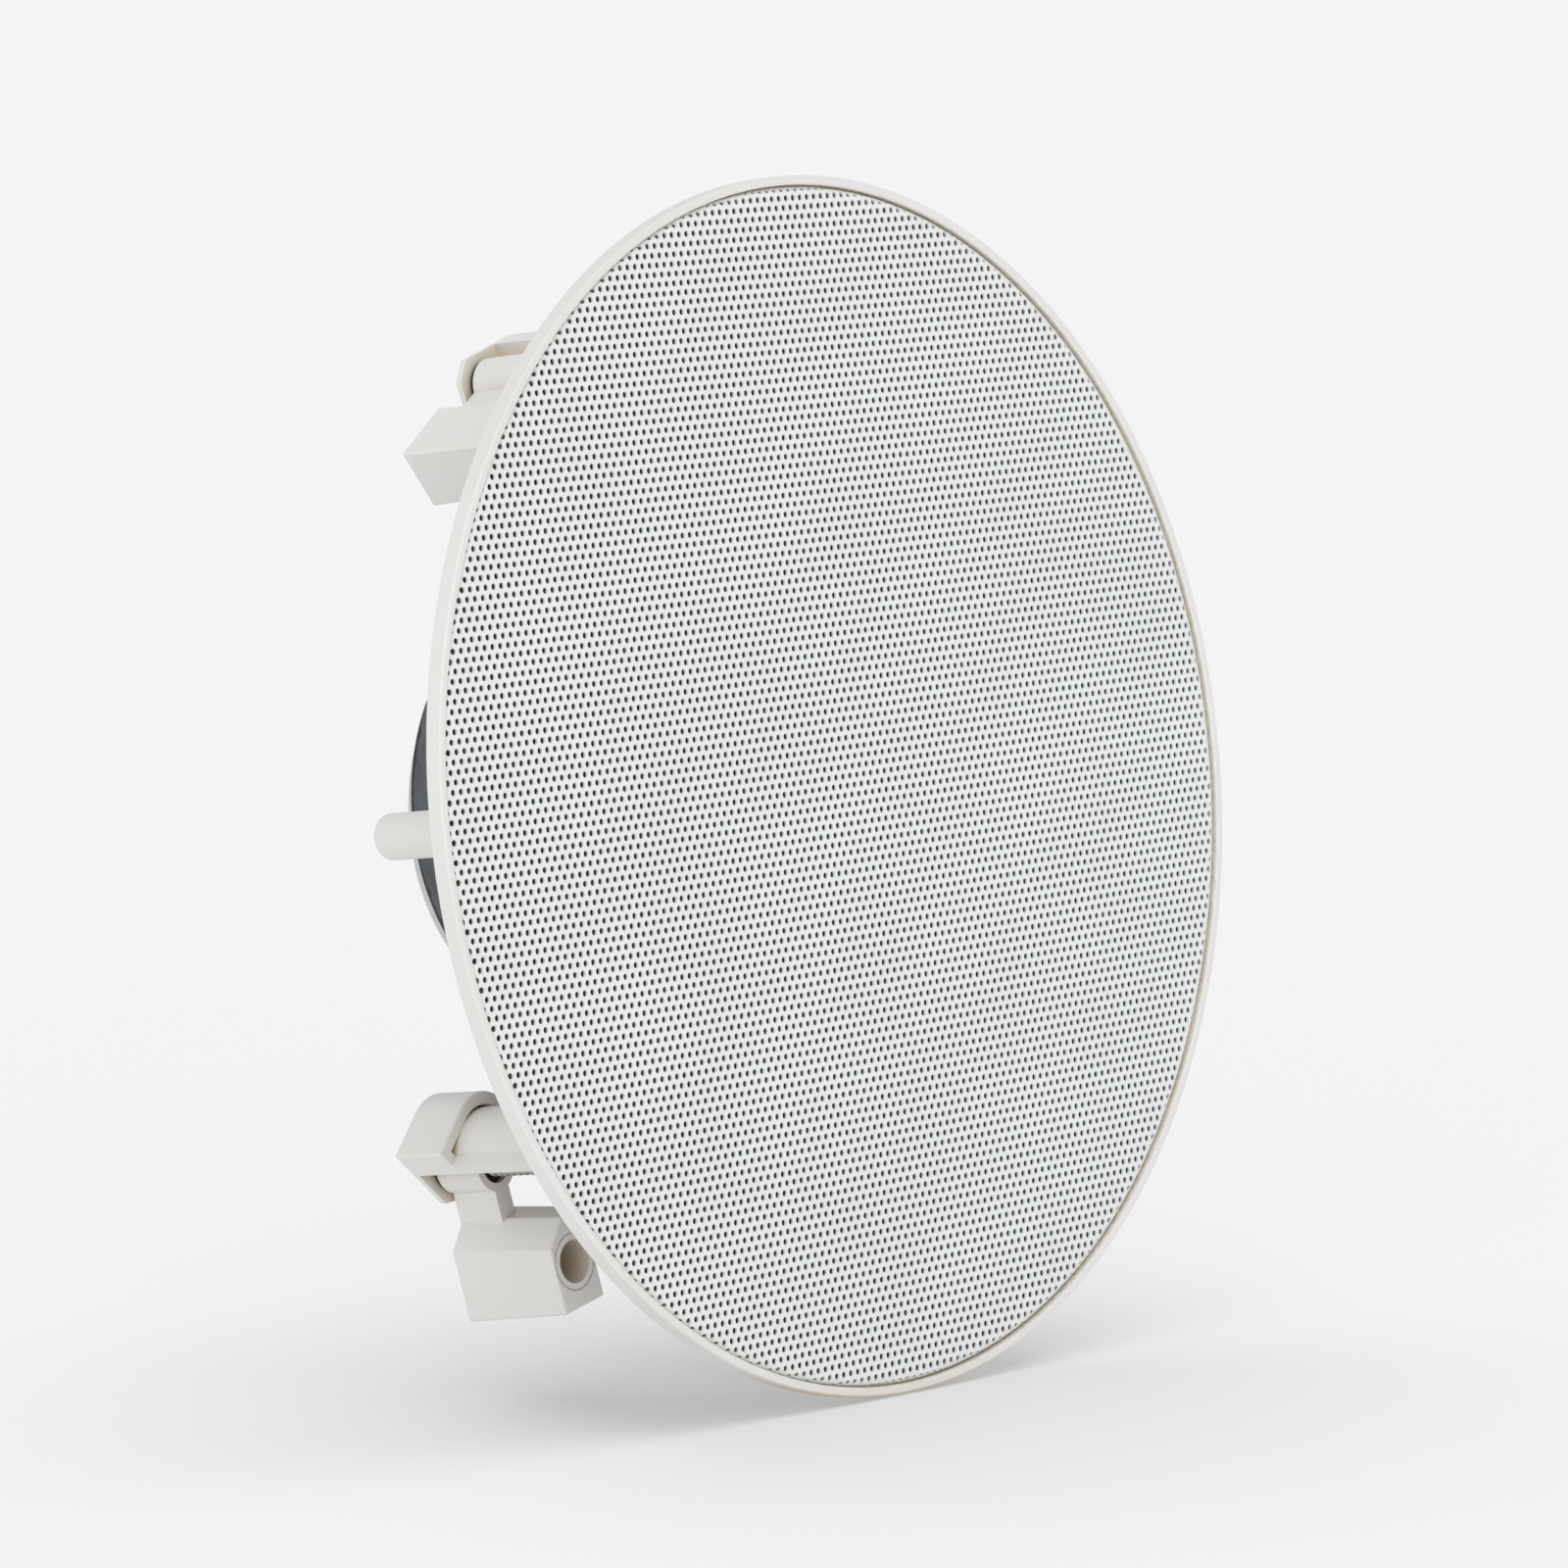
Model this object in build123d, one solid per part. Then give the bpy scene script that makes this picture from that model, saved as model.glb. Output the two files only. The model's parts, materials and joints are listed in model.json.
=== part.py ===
from build123d import *
import os
from math import cos, radians, sin, sqrt

# In-ceiling speaker, in millimetres. It is modelled standing, as it is photographed: the grille faces -Y,
# +Z is up and +Y runs into the ceiling. The origin is the centre of the flange's back, on the ceiling face.

# Frame: rim, flange, barrel and baffle
FLANGE_R = 115.0
FLANGE_T = 1.2
RIM_WIDTH = 1.75
RIM_HEIGHT = 3.3
RIM_ROUND = 0.4
BARREL_BAND = 20.0
BARREL_WALL = 2.5
BAFFLE_DEPTH = 5.5
BAFFLE_T = 2.5
SEAT_WIDTH = 8.0

# Grille and the cloth behind it
GRILLE_GAP = 0.3
GRILLE_T = 0.4
GRILLE_PROUD = 1.05
GRILLE_DOME_R = 4000.0
GRILLE_ROLL_R = 1.2
GRILLE_HOLE_R = 5.3
GRILLE_HOLE_PITCH = 19.6
GRILLE_HOLE_RINGS = 5
CLOTH_T = 0.3
CLOTH_MARGIN = 0.3
CLOTH_GLUE = 0.1

# Grille magnets on posts that stand up from the baffle
MAGNET_COUNT = 6
MAGNET_START = 26.5
MAGNET_OUT = 11.0
MAGNET_R = 4.0
MAGNET_T = 2.0
MAGNET_POCKET = 1.6
MAGNET_WALL = 1.5
MAGNET_AIR = 0.8

# Clamp towers
CLAMP_ANGLES = [115.5, 237.0, 357.0]
CLAMP_OUT = 5.4
CHANNEL_R = 9.6
CHANNEL_SHIFT = 1.5
CHANNEL_WALL = 2.5
CHANNEL_SIDE = 8.2
CHANNEL_MOUTH = 3.5
TOWER_FLAT = 6.4
TOWER_DEPTH = 58.0
HOOD_SIDE = 12.0
HOOD_FLOOR = 12.6
HOOD_CORNER_R = 9.0
HOOD_WALL = 2.6
HOOD_LENGTH = 11.5
HOOD_LIP = 4.8
CAP_T = 1.5
CAP_SIDE = 6.6
CAP_CHAMFER = 3.4
HOOD_EDGE = 0.5

# Clamp screws with their retaining washers
SCREW_R = 2.45
SCREW_HEAD_R = 4.2
SCREW_HEAD_T = 2.8
SCREW_SLOT = 1.2
SCREW_SLOT_DEPTH = 1.6
RUNNING = 0.05
WASHER_R = 5.0
WASHER_T = 1.0
WASHER_GAP = 0.3

# Threaded bushes and the ears that swing on them
BUSH_R = 3.6
BUSH_FLANGE_R = 4.8
BUSH_FLANGE_T = 0.9
EAR_REAR_GAP = 1.3
EAR_HUB_R = 5.2
EAR_HUB_LENGTH = 10.5
EAR_NECK_T = 4.0
FOOT_NEAR = 10.7
FOOT_FAR = 28.4
FOOT_WIDTH = 11.6
FOOT_LENGTH = 24.0
FOOT_CHAMFER = 4.9
FOOT_DRAFT = 0.55
FOOT_EDGE = 0.5
FOOT_HOLE_R = 4.1
FOOT_HOLE_DEPTH = 16.0
FOOT_HOLE_REACH = 19.7
FOOT_RING_R = 5.5
FOOT_RING_GROOVE = 0.3
EAR_SWING = [109.0, 54.0, 109.0]

# Plain posts on the baffle's back
POST_COUNT = 3
POST_START = 189.0
POST_OUT = 6.0
POST_R = 4.35
POST_DEPTH = 37.5
POST_ROUND = 2.0

# Woofer basket, gasket and screws
BASKET_T = 1.0
BASKET_FLANGE_R = 80.0
BASKET_CLEAR = 1.0
LANDING_R = 36.0
LANDING_DEPTH = 41.0
CUP_R = 31.0
WINDOW_COUNT = 6
WINDOW_START = 15.0
WINDOW_HALF = 21.0
WINDOW_FOOT = 5.0
WINDOW_EDGE = 8.0
GASKET_T = 1.2
GASKET_WIDTH = 7.0
FIXING_COUNT = 6
FIXING_START = 30.0
FIXING_EDGE = 3.5
FIXING_R = 1.8
FIXING_HEAD_R = 3.2
FIXING_HEAD_T = 2.0
FIXING_CLEAR = 0.15
FIXING_TIP = 2.0

# Woofer motor. The back plate is glued on slightly low, as the photo shows.
TOP_PLATE_R = 36.0
TOP_PLATE_T = 5.0
TOP_PLATE_DEPTH = 51.0
POLE_R = 12.2
FERRITE_R = 40.0
FERRITE_IN = 19.0
FERRITE_T = 16.5
BACK_PLATE_R = 36.4
BACK_PLATE_T = 4.0
BACK_PLATE_DROP = 1.8
VENT_R = 5.0

# Woofer moving parts and suspension
COIL_GAP = 0.5
FORMER_T = 0.3
WINDING_T = 0.5
WINDING_LENGTH = 9.0
COIL_AIR = 0.7
COIL_OVERHANG = 2.0
CONE_T = 1.0
CONE_LIP = 4.0
CONE_NECK_RISE = 3.0
CONE_NECK = 1.0
SURROUND_T = 0.8
SURROUND_ROLL_R = 4.5
SURROUND_LIP = 4.0
SURROUND_CLEAR = 1.0
SPIDER_T = 0.6
SPIDER_WAVES = 4
SPIDER_WAVE = 0.8
SPIDER_GLUE = 0.1

# Tag strip on a basket leg and the braids to the cone
TAG_ANGLE = 285.0
TAG_WIDTH = 24.0
TAG_PITCH = 5.0
TAG_HEIGHT = 9.0
TAG_T = 1.5
TAG_DEPTH = 28.0
TAG_GLUE = 0.05
BRAID_R = 0.7
BRAID_SPREAD = 10.0
BRAID_SAG = 3.0

# Tweeter on a post from the pole
TWEETER_POST_R = 4.5
TWEETER_STEM_R = 3.1
TWEETER_STEM_LENGTH = 12.0
TWEETER_STEM_CLEAR = 0.1
TWEETER_R = 17.0
TWEETER_FRONT = 5.0
TWEETER_LENGTH = 12.0
TWEETER_WALL = 3.0
TWEETER_FLOOR = 2.0
TWEETER_MAGNET_R = 9.0
TWEETER_MAGNET_T = 6.0
DOME_R = 10.0
DOME_HEIGHT = 3.6
DOME_T = 0.4
DOME_FLANGE_R = 15.5
TRIM_T = 1.0
TRIM_IN = 11.0

# Crossover
BOARD_ANGLE = 281.0
BOARD_OUT = 6.0
BOARD_RADIAL = 22.0
BOARD_LENGTH = 44.0
BOARD_T = 1.6
BOARD_BOSS_R = 3.5
BOARD_BOSS = 4.0
BOARD_SCREW_OFFSET = 18.5
BOARD_SCREW_R = 1.4
BOARD_HEAD_R = 2.6
BOARD_HEAD_T = 1.8
INDUCTOR_R = 8.0
INDUCTOR_CORE = 6.6
INDUCTOR_HEIGHT = 11.0
INDUCTOR_RIM = 1.2
INDUCTOR_CLEAR = 0.4
CAPACITOR_R = 4.2
CAPACITOR_LENGTH = 14.0
CAPACITOR_OFFSET = 5.4
RESISTOR_SIDE = 6.0
RESISTOR_OFFSET = 5.0
PART_START = 1.2

# Wire terminals
TERMINAL_ANGLE = 42.0
TERMINAL_OUT = 6.5
TERMINAL_LENGTH = 32.0
TERMINAL_RADIAL = 18.0
TERMINAL_HEIGHT = 14.0
TERMINAL_ROUND = 1.2
TAB_WIDTH = 9.0
TAB_RADIAL = 6.0
TAB_STAND = 4.0
TAB_POCKET = 7.0
TAB_TRAVEL = 2.0
TAB_CLEAR = 0.3
TAB_FLOOR = 0.6
TAB_ROUND = 1.0
TAB_OFFSET = 8.0
TAB_OUT = 4.0
WIRE_HOLE_R = 1.7
WIRE_HOLE_DEPTH = 9.0
WIRE_HOLE_IN = 4.5

# Hook-up wires
WIRE_R = 1.0
WIRE_RING_IN = 10.0
WIRE_DEPTH = 12.8
WIRE_STEP = 2.6
WIRE_TURN = 24.0
WIRE_ARC_SHARE = 0.45
WIRE_LEAD = 4.0

# Places worked out from the sizes above. The woofer's size sets the barrel and what stands round the woofer.
RIM_IN = FLANGE_R - RIM_WIDTH
BARREL_R = BASKET_FLANGE_R + BARREL_BAND
OPENING_R = BASKET_FLANGE_R - SEAT_WIDTH
MAGNET_PCR = BASKET_FLANGE_R + MAGNET_OUT
CLAMP_PCR = BASKET_FLANGE_R + CLAMP_OUT
POST_PCR = BASKET_FLANGE_R + POST_OUT
BOARD_PCR = BASKET_FLANGE_R + BOARD_OUT
TERMINAL_PCR = BASKET_FLANGE_R + TERMINAL_OUT
FIXING_PCR = BASKET_FLANGE_R - FIXING_EDGE
GASKET_IN = BASKET_FLANGE_R - GASKET_WIDTH
WIRE_RING_R = BASKET_FLANGE_R - WIRE_RING_IN
CONE_EDGE_R = GASKET_IN - SURROUND_CLEAR - SURROUND_LIP - 2 * SURROUND_ROLL_R
CONE_NECK_DEPTH = LANDING_DEPTH - CONE_NECK_RISE
BAFFLE_BACK = BAFFLE_DEPTH + BAFFLE_T
GRILLE_R = RIM_IN - GRILLE_GAP
CLOTH_R = GRILLE_R - GRILLE_ROLL_R - CLOTH_MARGIN
GRILLE_APEX = -(RIM_HEIGHT + GRILLE_PROUD)
DOME_CENTRE = GRILLE_APEX + GRILLE_DOME_R
SCREW_HOLE_R = SCREW_R + RUNNING
CAP_FRONT = TOWER_DEPTH - CAP_T
EAR_REAR = CAP_FRONT - EAR_REAR_GAP
EAR_FRONT = EAR_REAR - EAR_HUB_LENGTH
HOOD_FRONT = TOWER_DEPTH - HOOD_LENGTH
BASKET_FRONT = BAFFLE_DEPTH - BASKET_T
WALL_TOP_R = OPENING_R - BASKET_CLEAR
WINDOW_IN = LANDING_R + WINDOW_FOOT
WINDOW_OUT = WALL_TOP_R - WINDOW_EDGE
FERRITE_FRONT = TOP_PLATE_DEPTH + TOP_PLATE_T
BACK_PLATE_FRONT = FERRITE_FRONT + FERRITE_T
MOTOR_BACK = BACK_PLATE_FRONT + BACK_PLATE_T
FORMER_IN = POLE_R + COIL_GAP
FORMER_R = FORMER_IN + FORMER_T
TOP_PLATE_IN = FORMER_R + WINDING_T + COIL_AIR
TWEETER_BACK = TWEETER_FRONT + TWEETER_LENGTH
BOARD_FRONT = BAFFLE_BACK + BOARD_BOSS
BOARD_BACK = BOARD_FRONT + BOARD_T
INDUCTOR_OFFSET = BOARD_SCREW_OFFSET - BOARD_HEAD_R - INDUCTOR_CLEAR - INDUCTOR_R
TERMINAL_BACK = BAFFLE_BACK + TERMINAL_HEIGHT

NODES = {}


def polar(radius, angle, depth):
    return (radius * cos(radians(angle)), depth, radius * sin(radians(angle)))


# A place on a plane across the speaker's axis: its first direction points outwards at that angle.
def place(depth, angle=0.0, radius=0.0):
    x, _, z = polar(radius, angle, depth)
    return Plane.XZ.offset(-depth).location * Location((x, z, 0), (0, 0, angle))


def block(sketch, front, back, angle=0.0, radius=0.0):
    return extrude(place(front, angle, radius) * sketch, amount=front - back)


def turned(points):
    return revolve(make_face(Polyline(*points, close=True)), axis=Axis.Y)


def disc(radius, front, back):
    return block(Circle(radius), front, back)


def ring(outer, inner, front, back):
    return disc(outer, front, back) - disc(inner, front, back)


def around(count, start):
    return [start + index * 360.0 / count for index in range(count)]


# The grille's dome, taken at a given distance behind its front face.
def dome_point(radius, behind):
    length = GRILLE_DOME_R - behind
    return (radius, DOME_CENTRE - sqrt(length ** 2 - radius ** 2))


def dome_arc(radius, behind):
    return ThreePointArc(dome_point(0, behind), dome_point(radius / 2, behind), dome_point(radius, behind))


def roll_centre():
    radius = GRILLE_R - GRILLE_ROLL_R
    return dome_point(radius, GRILLE_ROLL_R)


def roll_arc(radius):
    centre_r, centre_y = roll_centre()
    lean = radius / (GRILLE_DOME_R - GRILLE_ROLL_R)
    start = (centre_r + lean * centre_r, centre_y + lean * (centre_y - DOME_CENTRE))
    middle = (centre_r + radius * cos(radians(45)), centre_y - radius * sin(radians(45)))
    return ThreePointArc(start, middle, (centre_r + radius, centre_y))


def grille_sheet():
    front_roll = roll_arc(GRILLE_ROLL_R)
    back_roll = roll_arc(GRILLE_ROLL_R - GRILLE_T)
    front = dome_arc((front_roll @ 0).X, 0)
    back = dome_arc((back_roll @ 0).X, GRILLE_T)
    lip = Polyline(front_roll @ 1, (GRILLE_R, -FLANGE_T), (GRILLE_R - GRILLE_T, -FLANGE_T), back_roll @ 1)
    middle = Line(front @ 0, back @ 0)
    return revolve(make_face([front, front_roll, lip, back_roll, back, middle]), axis=Axis.Y)


def hole_places():
    rows = range(-GRILLE_HOLE_RINGS, GRILLE_HOLE_RINGS + 1)
    cells = [(col, row) for col in rows for row in rows if abs(col + row) <= GRILLE_HOLE_RINGS]
    row_step = GRILLE_HOLE_PITCH * sqrt(3) / 2
    return [((col + row / 2) * GRILLE_HOLE_PITCH, row * row_step) for col, row in cells]


def make_grille():
    holes = Sketch() + [Pos(x, z) * Circle(GRILLE_HOLE_R) for x, z in hole_places()]
    NODES["grille"] = grille_sheet() - block(holes, GRILLE_APEX - GRILLE_T, 0)


def make_cloth():
    front = dome_arc(CLOTH_R, GRILLE_T + CLOTH_GLUE)
    back = dome_arc(CLOTH_R, GRILLE_T + CLOTH_GLUE + CLOTH_T)
    face = make_face([front, Line(front @ 1, back @ 1), back, Line(back @ 0, front @ 0)])
    NODES["grille_cloth"] = revolve(face, axis=Axis.Y)


def magnet_front():
    return dome_point(MAGNET_PCR, GRILLE_T + CLOTH_GLUE + CLOTH_T)[1] + MAGNET_AIR


def make_grille_magnets():
    discs = [
        block(Circle(MAGNET_R), magnet_front(), magnet_front() + MAGNET_T, angle, MAGNET_PCR)
        for angle in around(MAGNET_COUNT, MAGNET_START)
    ]
    NODES["grille_magnets"] = Compound(discs)


def frame_body():
    body = turned([
        (RIM_IN, -RIM_HEIGHT), (FLANGE_R, -RIM_HEIGHT), (FLANGE_R, 0), (BARREL_R, 0), (BARREL_R, BAFFLE_BACK),
        (OPENING_R, BAFFLE_BACK), (OPENING_R, BAFFLE_DEPTH), (BARREL_R - BARREL_WALL, BAFFLE_DEPTH),
        (BARREL_R - BARREL_WALL, -FLANGE_T), (RIM_IN, -FLANGE_T),
    ])
    rim_edges = body.edges().filter_by(
        lambda edge: edge.center().Y < -(RIM_HEIGHT + FLANGE_T) / 2
    )
    return fillet(rim_edges, RIM_ROUND)


def channel_sketch():
    tube = Circle(CHANNEL_R) - Circle(CHANNEL_R - CHANNEL_WALL)
    keep = box_sketch(-FLANGE_R, TOWER_FLAT - CHANNEL_WALL, -FLANGE_R, CHANNEL_MOUTH)
    kept = Pos(-CHANNEL_SHIFT, 0) * tube & keep
    lip = box_sketch(CHANNEL_SHIFT, TOWER_FLAT, -CHANNEL_SIDE, CHANNEL_WALL - CHANNEL_SIDE)
    return kept + lip


def box_sketch(x_low, x_high, y_low, y_high):
    return Pos((x_low + x_high) / 2, (y_low + y_high) / 2) * Rectangle(x_high - x_low, y_high - y_low)


# The hood's outline, set in by a wall thickness: straight sides with one large round corner.
def hood_outline(inset):
    outline = box_sketch(inset - HOOD_FLOOR, TOWER_FLAT, inset - HOOD_SIDE, CAP_SIDE)
    corner = outline.vertices().group_by(Axis.X)[0].sort_by(Axis.Y)[0]
    return fillet(corner, HOOD_CORNER_R - inset)


# The hood's outside, with its other low corner slightly rounded.
def hood_outside():
    outline = hood_outline(0)
    corner = outline.vertices().group_by(Axis.X)[-1].sort_by(Axis.Y)[0]
    return fillet(corner, HOOD_EDGE)


def hood_sketch():
    outside = hood_outside()
    wall = (outside - hood_outline(HOOD_WALL)) & box_sketch(-FLANGE_R, FLANGE_R, -FLANGE_R, CHANNEL_MOUTH)
    return wall + (outside & box_sketch(TOWER_FLAT - HOOD_WALL, TOWER_FLAT, -HOOD_SIDE, HOOD_LIP - HOOD_SIDE))


def cap_sketch():
    outline = hood_outside()
    corner = outline.vertices().group_by(Axis.X)[-1].sort_by(Axis.Y)[-1]
    return chamfer(corner, CAP_CHAMFER)


def tower(angle):
    channel = block(channel_sketch(), BAFFLE_BACK, CAP_FRONT, angle, CLAMP_PCR)
    hood = block(hood_sketch(), HOOD_FRONT, CAP_FRONT, angle, CLAMP_PCR)
    hood = fillet(hood.faces().sort_by(Axis.Y)[0].edges(), HOOD_EDGE)
    cap = block(cap_sketch(), CAP_FRONT, TOWER_DEPTH, angle, CLAMP_PCR)
    cap = fillet(cap.faces().sort_by(Axis.Y)[-1].edges(), HOOD_EDGE)
    screw_hole = block(Circle(SCREW_HOLE_R), CAP_FRONT, TOWER_DEPTH, angle, CLAMP_PCR)
    return channel + hood + cap - screw_hole


def post(angle):
    shank = block(Circle(POST_R), BAFFLE_BACK, POST_DEPTH, angle, POST_PCR)
    return fillet(shank.edges().sort_by(Axis.Y)[-1], POST_ROUND)


def magnet_post(angle):
    top = magnet_front() + MAGNET_T - MAGNET_POCKET
    shank = block(Circle(MAGNET_R + MAGNET_WALL), top, BAFFLE_DEPTH, angle, MAGNET_PCR)
    return shank - block(Circle(MAGNET_R), top, magnet_front() + MAGNET_T, angle, MAGNET_PCR)


def board_screw_places():
    return [Pos(0, side * BOARD_SCREW_OFFSET) for side in (-1, 1)]


def make_frame():
    body = frame_body()
    for angle in CLAMP_ANGLES:
        body = body + tower(angle)
        body = body - block(Circle(SCREW_HOLE_R), BAFFLE_DEPTH, BAFFLE_BACK, angle, CLAMP_PCR)
    for angle in around(POST_COUNT, POST_START):
        body = body + post(angle)
    for angle in around(MAGNET_COUNT, MAGNET_START):
        body = body + magnet_post(angle)
    for spot in board_screw_places():
        boss = block(spot * Circle(BOARD_BOSS_R), BAFFLE_BACK, BOARD_FRONT, BOARD_ANGLE, BOARD_PCR)
        hole = block(spot * Circle(BOARD_SCREW_R), BAFFLE_BACK, BOARD_FRONT, BOARD_ANGLE, BOARD_PCR)
        body = body + boss - hole
    for angle in around(FIXING_COUNT, FIXING_START):
        body = body - block(Circle(FIXING_R), BAFFLE_DEPTH, BAFFLE_BACK, angle, FIXING_PCR)
    for spot in terminal_screw_places():
        body = body - terminal_block(spot * Circle(BOARD_SCREW_R), BAFFLE_DEPTH, BAFFLE_BACK)
    NODES["frame"] = body


# The foot's section, with its near corner cut off. It grows towards the rear by the moulding draft.
def ear_section(grow):
    half = FOOT_WIDTH / 2 + grow
    near = FOOT_NEAR - grow
    far = FOOT_FAR + grow
    return make_face(Polyline(
        (near, half), (near, FOOT_CHAMFER - half), (near + FOOT_CHAMFER, -half),
        (far, -half), (far, half), close=True,
    ))


def ear_foot():
    foot_front = EAR_REAR - FOOT_LENGTH
    foot = loft([place(foot_front) * ear_section(0), place(EAR_REAR) * ear_section(FOOT_DRAFT)], ruled=True)
    foot = fillet(foot.edges(), FOOT_EDGE)
    middle = Pos(FOOT_HOLE_REACH, 0)
    groove = middle * (Circle(FOOT_RING_R) - Circle(FOOT_RING_R - FOOT_RING_GROOVE))
    foot = foot - block(middle * Circle(FOOT_HOLE_R), foot_front, foot_front + FOOT_HOLE_DEPTH)
    return foot - block(groove, foot_front, foot_front + FOOT_RING_GROOVE)


def make_ear(number, angle, swing):
    hub = Circle(EAR_HUB_R) + box_sketch(0, FOOT_NEAR + FOOT_DRAFT, -EAR_NECK_T / 2, EAR_NECK_T / 2)
    bore = block(Circle(BUSH_R + RUNNING), EAR_FRONT, EAR_REAR)
    ear = block(hub, EAR_FRONT, EAR_REAR) + ear_foot() - bore
    x, _, z = polar(CLAMP_PCR, angle, 0)
    NODES[f"clamp_ear_{number}"] = Pos(x, 0, z) * Rot(0, -(angle + swing), 0) * ear


def make_bush(number, angle):
    sleeve = block(Circle(BUSH_R), EAR_FRONT + EAR_REAR_GAP, EAR_REAR, angle, CLAMP_PCR)
    flange = block(Circle(BUSH_FLANGE_R), EAR_REAR, EAR_REAR + BUSH_FLANGE_T, angle, CLAMP_PCR)
    bore = block(Circle(SCREW_HOLE_R), EAR_FRONT, TOWER_DEPTH, angle, CLAMP_PCR)
    NODES[f"clamp_bush_{number}"] = sleeve + flange - bore


def make_screw(number, angle):
    top = BAFFLE_DEPTH - SCREW_HEAD_T
    head = block(Circle(SCREW_HEAD_R), top, BAFFLE_DEPTH, angle, CLAMP_PCR)
    shank = block(Circle(SCREW_R), BAFFLE_DEPTH, TOWER_DEPTH, angle, CLAMP_PCR)
    arm = Rectangle(SCREW_HEAD_R, SCREW_SLOT) + Rectangle(SCREW_SLOT, SCREW_HEAD_R)
    recess = block(arm, top, top + SCREW_SLOT_DEPTH, angle, CLAMP_PCR)
    NODES[f"clamp_screw_{number}"] = head + shank - recess
    washer = Circle(WASHER_R) - Circle(SCREW_R)
    washer_front = BAFFLE_BACK + WASHER_GAP
    NODES[f"screw_washer_{number}"] = block(washer, washer_front, washer_front + WASHER_T, angle, CLAMP_PCR)


def make_clamps():
    for index, angle in enumerate(CLAMP_ANGLES):
        make_screw(index + 1, angle)
        make_bush(index + 1, angle)
        make_ear(index + 1, angle, EAR_SWING[index])


def basket_shell():
    cup_in = CUP_R - BASKET_T
    return turned([
        (WALL_TOP_R - BASKET_T, BASKET_FRONT), (BASKET_FLANGE_R, BASKET_FRONT),
        (BASKET_FLANGE_R, BAFFLE_DEPTH), (WALL_TOP_R, BAFFLE_DEPTH),
        (LANDING_R, LANDING_DEPTH + BASKET_T), (CUP_R, LANDING_DEPTH + BASKET_T),
        (CUP_R, TOP_PLATE_DEPTH), (TOP_PLATE_IN + BASKET_T, TOP_PLATE_DEPTH),
        (TOP_PLATE_IN + BASKET_T, TOP_PLATE_DEPTH - BASKET_T), (cup_in, TOP_PLATE_DEPTH - BASKET_T),
        (cup_in, LANDING_DEPTH), (LANDING_R - BASKET_T, LANDING_DEPTH),
    ])


def window_sketch(angle):
    reach = 2 * BASKET_FLANGE_R
    low = polar(reach, angle - WINDOW_HALF, 0)
    high = polar(reach, angle + WINDOW_HALF, 0)
    wedge = make_face(Polyline((0, 0), (low[0], low[2]), (high[0], high[2]), close=True))
    return (Circle(WINDOW_OUT) - Circle(WINDOW_IN)) & wedge


def make_basket():
    basket = basket_shell()
    for angle in around(WINDOW_COUNT, WINDOW_START):
        basket = basket - block(window_sketch(angle), BAFFLE_DEPTH, LANDING_DEPTH)
    for angle in around(FIXING_COUNT, FIXING_START):
        hole = Circle(FIXING_R + FIXING_CLEAR)
        basket = basket - block(hole, BASKET_FRONT, BAFFLE_DEPTH, angle, FIXING_PCR)
    NODES["woofer_basket"] = basket


def make_gasket_and_screws():
    front = BASKET_FRONT - GASKET_T
    gasket = ring(BASKET_FLANGE_R, GASKET_IN, front, BASKET_FRONT)
    screws = []
    for angle in around(FIXING_COUNT, FIXING_START):
        gasket = gasket - block(Circle(FIXING_R + FIXING_CLEAR), front, BASKET_FRONT, angle, FIXING_PCR)
        head = block(Circle(FIXING_HEAD_R), front - FIXING_HEAD_T, front, angle, FIXING_PCR)
        shank = block(Circle(FIXING_R), front, BAFFLE_BACK + FIXING_TIP, angle, FIXING_PCR)
        slot = Rectangle(FIXING_HEAD_R, FIXING_HEAD_T / 2) + Rectangle(FIXING_HEAD_T / 2, FIXING_HEAD_R)
        recess = block(slot, front - FIXING_HEAD_T, front - FIXING_HEAD_T / 2, angle, FIXING_PCR)
        screws.append(head + shank - recess)
    NODES["woofer_gasket"] = gasket
    NODES["woofer_screws"] = Compound(screws)


def make_motor():
    NODES["top_plate"] = ring(TOP_PLATE_R, TOP_PLATE_IN, TOP_PLATE_DEPTH, FERRITE_FRONT)
    NODES["ferrite_magnet"] = ring(FERRITE_R, FERRITE_IN, FERRITE_FRONT, BACK_PLATE_FRONT)
    stem_hole = TWEETER_STEM_R + TWEETER_STEM_CLEAR
    stem_end = TOP_PLATE_DEPTH + TWEETER_STEM_LENGTH
    plate = Pos(0, 0, -BACK_PLATE_DROP) * disc(BACK_PLATE_R, BACK_PLATE_FRONT, MOTOR_BACK)
    pole = disc(POLE_R, TOP_PLATE_DEPTH, BACK_PLATE_FRONT)
    hole = disc(stem_hole, TOP_PLATE_DEPTH, stem_end) + disc(VENT_R, stem_end, MOTOR_BACK)
    NODES["back_plate"] = plate + pole - hole


def make_cone_and_coil():
    lip_in = CONE_EDGE_R - CONE_LIP
    lip_back = BASKET_FRONT + CONE_T
    NODES["woofer_cone"] = turned([
        (lip_in, BASKET_FRONT), (CONE_EDGE_R, BASKET_FRONT), (CONE_EDGE_R, lip_back),
        (lip_in + CONE_T, lip_back), (FORMER_R + CONE_T, CONE_NECK_DEPTH), (FORMER_R, CONE_NECK_DEPTH),
        (FORMER_R, CONE_NECK_DEPTH - CONE_NECK),
    ])
    winding_front = TOP_PLATE_DEPTH - COIL_OVERHANG
    winding_back = winding_front + WINDING_LENGTH
    former = ring(FORMER_R, FORMER_IN, CONE_NECK_DEPTH - 2 * CONE_NECK, winding_back + CONE_NECK)
    NODES["voice_coil"] = former + ring(FORMER_R + WINDING_T, FORMER_IN, winding_front, winding_back)


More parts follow.
